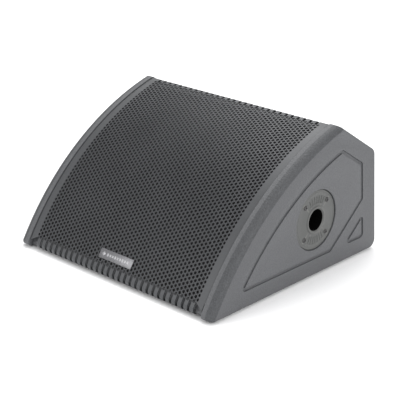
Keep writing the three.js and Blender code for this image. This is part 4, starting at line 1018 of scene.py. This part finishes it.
# %% Frame and suspension
bm = bmesh.new()
turned(bm, [(112, 4.6), (112.5, 5), (127.6, 5), (129, 3.6), (129, 0.3), (114, 0.3), (113.2, -1), (108, -8), (62, -61.7),
            (40, -61.7), (40, -58), (58, -58), (102, -4), (112, 1)], 96, AT_DRIVER)
windows = bmesh.new()
for i in range(6):
    block(windows, (58, 60, 34), (0, 102, -24), 5, 3, spun(60 * i))
add_piece(carved(bm, windows), "driver frame", CASTING, "cast_alloy", "woofer_basket")
bolts = bmesh.new()
for i in range(8):
    turned(bolts, [(0, 5.05), (3, 5.05), (3, 6.4), (2.5, 7), (1.5, 7), (1.4, 5.9), (0, 5.9)], 24,
           spun(22.5 + 45 * i) @ Matrix.Translation((124.5 * MM, 0, 0)))
add_piece(bolts, "frame bolts", SCREW, "cast_alloy")


def half_round(radius, z, steps=14):
    """The crown of the surround's roll, seen in section."""
    angles = [math.pi * i / steps for i in range(steps + 1)]
    return [(107.5 - radius * math.cos(a), z + radius * math.sin(a)) for a in angles]


lathe("rubber surround", RUBBER, "surround_rubber", [(98, 5.3), (98, 6.4), *half_round(7.7, 6.1), (118, 6.4),
      (118.4, 5.9), (118, 5.3), *reversed(half_round(6.7, 5.3))], "woofer_surround")
pleats = [(34 + 0.5 * i, -47.4 + 0.8 * math.cos(math.pi * i / 4)) for i in range(49)]
lathe("pleated suspension", CLOTH, "spider_cloth", pleats + [(r, z - 0.9) for r, z in reversed(pleats)], "spider")

# %% Cone and coil
ribs = [(96 - 1.9 * i - 0.014 * i * i, 4.3 - 1.72 * i + 0.012 * i * i + 0.25 * math.cos(1.9 * i)) for i in range(1, 25)]
lathe("paper cone", PAPER, "paper_cone", [
    (103, 3.5), (103, 4.4), (97, 4.4), *ribs, (35.2, -36.6), (33.7, -38), (33.7, -39.6), (70, -22.5), (97, 3.2)],
    "woofer_cone", body="moving_cone")
turns = []
for i in range(32):
    turns += [(33.2, -73.5 + 0.55 * i), (32.9, -73.2 + 0.55 * i)]
lathe("wound coil", WINDING, "copper", [(32, -74), (33, -74), *turns, (32.5, -55.6), (32.5, -38.5), (32, -38.5)],
      "voice_coil", body="moving_cone")

# %% Magnet, horn and tweeter
lathe("front plate", ZINC, "plain_steel", [(34.2, -70), (53.4, -70), (54, -69.4), (54, -62.6), (53.4, -62),
      (34.8, -62), (34.2, -62.6)], "top_plate")
lathe("magnet ring", MAGNET, "magnet_steel", [(38, -82), (49.4, -82), (50, -81.4), (50, -70.9), (49.4, -70.3),
      (38, -70.3)], "magnet")
lathe("rear plate", ZINC, "plain_steel", [(9, -92.3), (53, -92.3), (54, -91.3), (54, -83.3), (53, -82.3),
      (31, -82.3), (31, -62.6), (30.4, -62), (12, -62)], "back_plate")
lathe("tweeter horn", PLASTIC, "black_plastic", [(12, -61.7), (28, -61.7), (28, -30), (28.4, -14), (29, -12.6),
      (28.6, -12), (27.4, -12), (26.6, -13), (23.6, -21), (18.4, -34), (14.2, -50)], "hf_horn")
lathe("tweeter dome", FOIL, "diaphragm_metal", [(0, -98), (20, -98), (20, -97.4), (16.6, -97.4), (15.6, -96.6),
      (14.6, -97.3), (12.4, -96.4), (8, -94.9), (4, -94), (0, -93.6)], "hf_diaphragm", 64)
lathe("tweeter housing", CASTING, "cast_alloy", [(0, -118), (30, -118), (30, -117), (32, -117), (32, -118), (34, -118),
      (36, -116), (36, -111), (35.2, -110), (35.2, -106), (36, -105), (36, -93), (24, -93), (24, -100), (0, -100)],
      "hf_housing")

# %% Ports
PORT_X, PORT_UP, PORT_BORE = 151 * MM, 87 * MM, 24.5
flare = [(PORT_BORE + 2 * (1 - math.cos(math.radians(9 * i))), -4 + 7 * math.sin(math.radians(9 * i)))
         for i in range(11)]
for side, port in ((-1, "port_tube_left"), (1, "port_tube_right")):
    lathe("flared " + port, PLASTIC, "black_plastic", [(PORT_BORE, -90), (24.9, -90), (27, -88.6), (27, 0.3),
          (31.4, 0.3), (32, 0.9), (31.4, 1.8), (28, 3.7), *reversed(flare)],
          port, 64, place=AT_DRIVER @ Matrix.Translation((side * PORT_X, PORT_UP, 0)))

# %% Wadding
low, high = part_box("wadding")
bm = bmesh.new()
bmesh.ops.create_cube(bm, size=1)
bmesh.ops.subdivide_edges(bm, edges=bm.edges[:], cuts=22, use_grid_fill=True)
for vert in bm.verts:
    u, v, w = vert.co
    puff = 1 + 0.05 * math.sin(23 * u + 9 * v) * math.cos(17 * v + 5 * u)
    along_slope = 60 * MM + 48 * MM * v * (1 - 0.03 * math.sin(19 * u))
    depth = 18.4 * MM + 13.4 * MM * (0.5 - w) * puff * (1 - 48 * abs(u) ** 9) * (1 - 60 * abs(v) ** 9)
    y, z = CREST + SLOPE * along_slope - SLOPE_OUT * depth
    vert.co = (239 * MM * u, y, z)
pad = add_piece(bm, "wadding pad", WADDING, "wadding", "wadding", sharp=80)

# %% [markdown]
# ## The amplifier tray
# The tray is sunk into the back, with its own axes: x to the right as seen from behind, y up the board, and z out of
# it. The solids give every panel, socket and button; here they get softened edges, contacts, pointers and printed
# ticks and bars where a maker would print words. All the controls ride on their own bodies.

# %% Where the tray sits
TRAY_UP, TRAY_RECESS = 86 * MM, 3 * MM
AT_TRAY = stood(BACK_FOOT + BACK_UP * TRAY_UP - BACK_OUT * TRAY_RECESS, BACK_UP, BACK_OUT, right=-1)
FACE = -22
KNOB_X, KNOB_Y = 18, -27


def at_tray(x, y):
    return AT_TRAY @ Matrix.Translation((x * MM, y * MM, 0))


def tray_block(bm, size, centre, bevel=0.2, segments=2):
    block(bm, size, centre, bevel, segments, AT_TRAY)


# %% Tray, heat sink and sockets
for node_name, name, material, slot, width in (
        ("amp_tray", "amplifier tray", TRAY, "tray_paint", 0.5),
        ("heat_sink", "finned heat sink", ANODISED, "black_aluminium", 0.35),
        ("combo_jack", "combination socket", PLASTIC, "black_plastic", 0.3),
        ("link_jack", "link socket", PLASTIC, "black_plastic", 0.3),
        ("mains_inlet", "inlet panel", PLASTIC, "black_plastic", 0.4)):
    stand_for(softened(node_name, name, material, width=width), slot, node_name)
bm = bmesh.new()
for x, depth in ((-KNOB_X, 20), (KNOB_X, 14)):
    for i in range(3):
        a = math.radians(90 + 120 * i)
        deep, shoulder, tip = FACE - depth + 0.1, FACE - 4, FACE - 3.2
        turned(bm, [(0, deep), (1.2, deep), (1.2, shoulder), (0.6, tip), (0, tip)], 16,
               at_tray(x + 5 * math.cos(a), 27 + 5 * math.sin(a)))
for x, y in ((-6.5, 8), (6.5, 8), (0, 13)):
    tray_block(bm, (2, 4, 12.5), (100 + x, y, -30), 0.4)
add_piece(bm, "socket contacts", CONTACT, "black_plastic")

# %% Latch, button, lens and drawer
bm = bmesh.new()
tray_block(bm, (7, 3, 2.6), (-18, 39.4, -19.7), 0.6, 3)
add_piece(bm, "latch button", LATCH, "latch_plastic", "jack_latch", body="jack_latch")
bm = bmesh.new()
tray_block(bm, (8, 8, 13), (44, KNOB_Y, -21.5), 0.7, 3)
add_piece(bm, "ground lift button", KNOB, "knob_plastic", "lift_button", body="lift_button")
bm = bmesh.new()
tray_block(bm, (7, 26, 4.5), (44, 27, -22.75), 0.4)
for i in range(4):
    turned(bm, [(0, FACE + 1.45), (1.7, FACE + 1.45), (1.5, FACE + 2.2), (0, FACE + 2.6)], 20, at_tray(44, 18 + 6 * i))
add_piece(bm, "light pipe", LENS, "clear_lens", "led_lens")
bm = bmesh.new()
tray_block(bm, (27, 11, 24.6), (100, -14, -30.3), 0.5, 3)
for i in (-1, 0, 1):
    tray_block(bm, (9, 0.8, 0.7), (100, -14 + 2.4 * i, -18.05))
add_piece(bm, "fuse holder", PLASTIC, "black_plastic", "fuse_drawer", body="fuse_drawer")

# %% Rocker switch
stand_for(softened("power_rocker", "rocker cap", KNOB, "power_rocker", angle=25), "black_plastic", "power_rocker")


# %% Knobs
def knob(name, x, node_name):
    bm = bmesh.new()
    turned(bm, [(0, -30), (3, -30), (3, -21), (8.6, -21), (9, -20.6), (8.9, -18.6), (8.3, -17.8), (7.6, -9.2),
                (7.2, -8.3), (6.6, -8), (5.8, -8.4), (0, -8.4)], 72, at_tray(x, KNOB_Y))
    flutes = bmesh.new()
    for i in range(18):
        swing = Matrix.Rotation(math.radians(20 * i + 10), 4, "Z") @ Matrix.Translation((8.4 * MM, 0, 0))
        pin(flutes, 0.75, -19, -6, 12, at_tray(x, KNOB_Y) @ swing)
    add_piece(carved(bm, flutes), name, KNOB, "knob_plastic", node_name, body=node_name)
    bm = bmesh.new()
    tray_block(bm, (1, 5.6, 0.4), (x, -22.9, -8.3), 0.12)
    add_piece(bm, name + " pointer", LEGEND, "knob_plastic", body=node_name)


knob("volume dial", -KNOB_X, "volume_knob")
knob("preset dial", KNOB_X, "preset_knob")

# %% Printed ticks and bars
bm = bmesh.new()
for x, count, sweep in ((-KNOB_X, 11, 300), (KNOB_X, 8, 315)):
    for i in range(count):
        around = Matrix.Rotation(math.radians(sweep / 2 - sweep * i / (count - 1)), 4, "Z")
        block(bm, (0.7, 2.4 if i % 5 else 3.2, 0.1), (0, 12.2, FACE + 0.06), place=at_tray(x, KNOB_Y) @ around)
for x, y, width in ((-18, -45, 16), (18, -45, 16), (44, -36.5, 10), (44, 45, 9), (-18, 46.5, 14), (18, 46.5, 12),
                    (66, -34, 3), (36, 18, 2), (36, 24, 2), (36, 30, 2), (36, 36, 2)):
    tray_block(bm, (width, 1.3, 0.1), (x, y, FACE + 0.06), 0)
add_piece(bm, "printed marks", LEGEND, "tray_paint")
bm = bmesh.new()
for a, b in ((-1, -1), (1, -1), (1, 1), (-1, 1), (0, 1), (0, -1), (-1, 0), (1, 0)):
    turned(bm, [(0, 2.35), (3.4, 2.35), (3.4, 2.7), (2.6, 3.6), (1.4, 3.8), (1.3, 3), (0, 3)], 24,
           at_tray(158 * a, 61.5 * b))
add_piece(bm, "tray screws", SCREW, "tray_paint")

# %% Circuit board and transformer
bm = bmesh.new()
tray_block(bm, (96, 92, 1.6), (-92, 0, -37.1), 0.1)
add_piece(bm, "circuit board", BOARD, "board_green", "amp_board")
bm = bmesh.new()
for x, y, r, tall in ((-130, 34, 5, 14), (-130, 20, 5, 14), (-60, -34, 4, 10), (-60, -22, 4, 10), (-72, -36, 3, 8)):
    turned(bm, [(0, -38), (r, -38), (r, -38.6 - tall), (r - 0.5, -39 - tall), (0, -38.7 - tall)], 28, at_tray(x, y))
for x, y, w, h in ((-128, 2, 12, 10), (-84, -34, 9, 9), (-62, 36, 14, 7), (-132, -14, 6, 10), (-52, 4, 7, 12)):
    tray_block(bm, (w, h, 2.4), (x, y, -39.2), 0.3)
add_piece(bm, "board parts", PLASTIC, "board_green")
ring = []
for i in range(24):
    across, deep = math.cos(math.tau * i / 24), math.sin(math.tau * i / 24)
    ring.append((16.5 + 9.4 * across * (1 if abs(across) < 0.8 else 0.99), -51.2 + 12.8 * deep))
lathe("transformer ring", WINDING, "copper", ring, "transformer", place=at_tray(-106, 12))

# %% Lead to the driver
def swept(bm, path, radius, sides=12):
    """A round cord along a path of points."""
    rings = []
    for i, point in enumerate(path):
        ahead = (path[min(i + 1, len(path) - 1)] - path[max(i - 1, 0)]).normalized()
        side = ahead.cross(Vector((1, 0, 0.2))).normalized()
        over = side.cross(ahead)
        rings.append([point + (side * math.cos(math.tau * k / sides) + over * math.sin(math.tau * k / sides)) * radius
                      for k in range(sides)])
    skinned(bm, rings)


guide = [Vector(p) * MM for p in ((-122, -30, -39.4), (-122, -34, -57.9), (-102, -30, -82.9), (-87, -10, -107.9),
                                  (-72, 8, -127.9))]


def guide_point(t):
    """A point on the smooth curve through the guide points, for t from 0 to 1."""
    spot = min(t * (len(guide) - 1), len(guide) - 1.0001)
    i, u = int(spot), spot - int(spot)
    a, b, c, d = (guide[min(max(k, 0), len(guide) - 1)] for k in (i - 1, i, i + 1, i + 2))
    return 0.5 * (2 * b + (c - a) * u + (2 * a - 5 * b + 4 * c - d) * u ** 2 + (3 * b - a - 3 * c + d) * u ** 3)


TWIST_RADIUS, CORE_RADIUS = 1.2 * MM, 1.15 * MM
for name, phase, material, nodes in (("lead core one", 0.0, FLEX, ["woofer_lead"]),
                                     ("lead core two", math.pi, PLASTIC, [])):
    bm = bmesh.new()
    path = []
    for i in range(121):
        t = i / 120
        twist = phase + 22 * t
        path.append(AT_TRAY @ (guide_point(t) + Vector((math.cos(twist), math.sin(twist), 0)) * TWIST_RADIUS))
    swept(bm, path, CORE_RADIUS)
    add_piece(bm, name, material, "lead_insulation", *nodes)
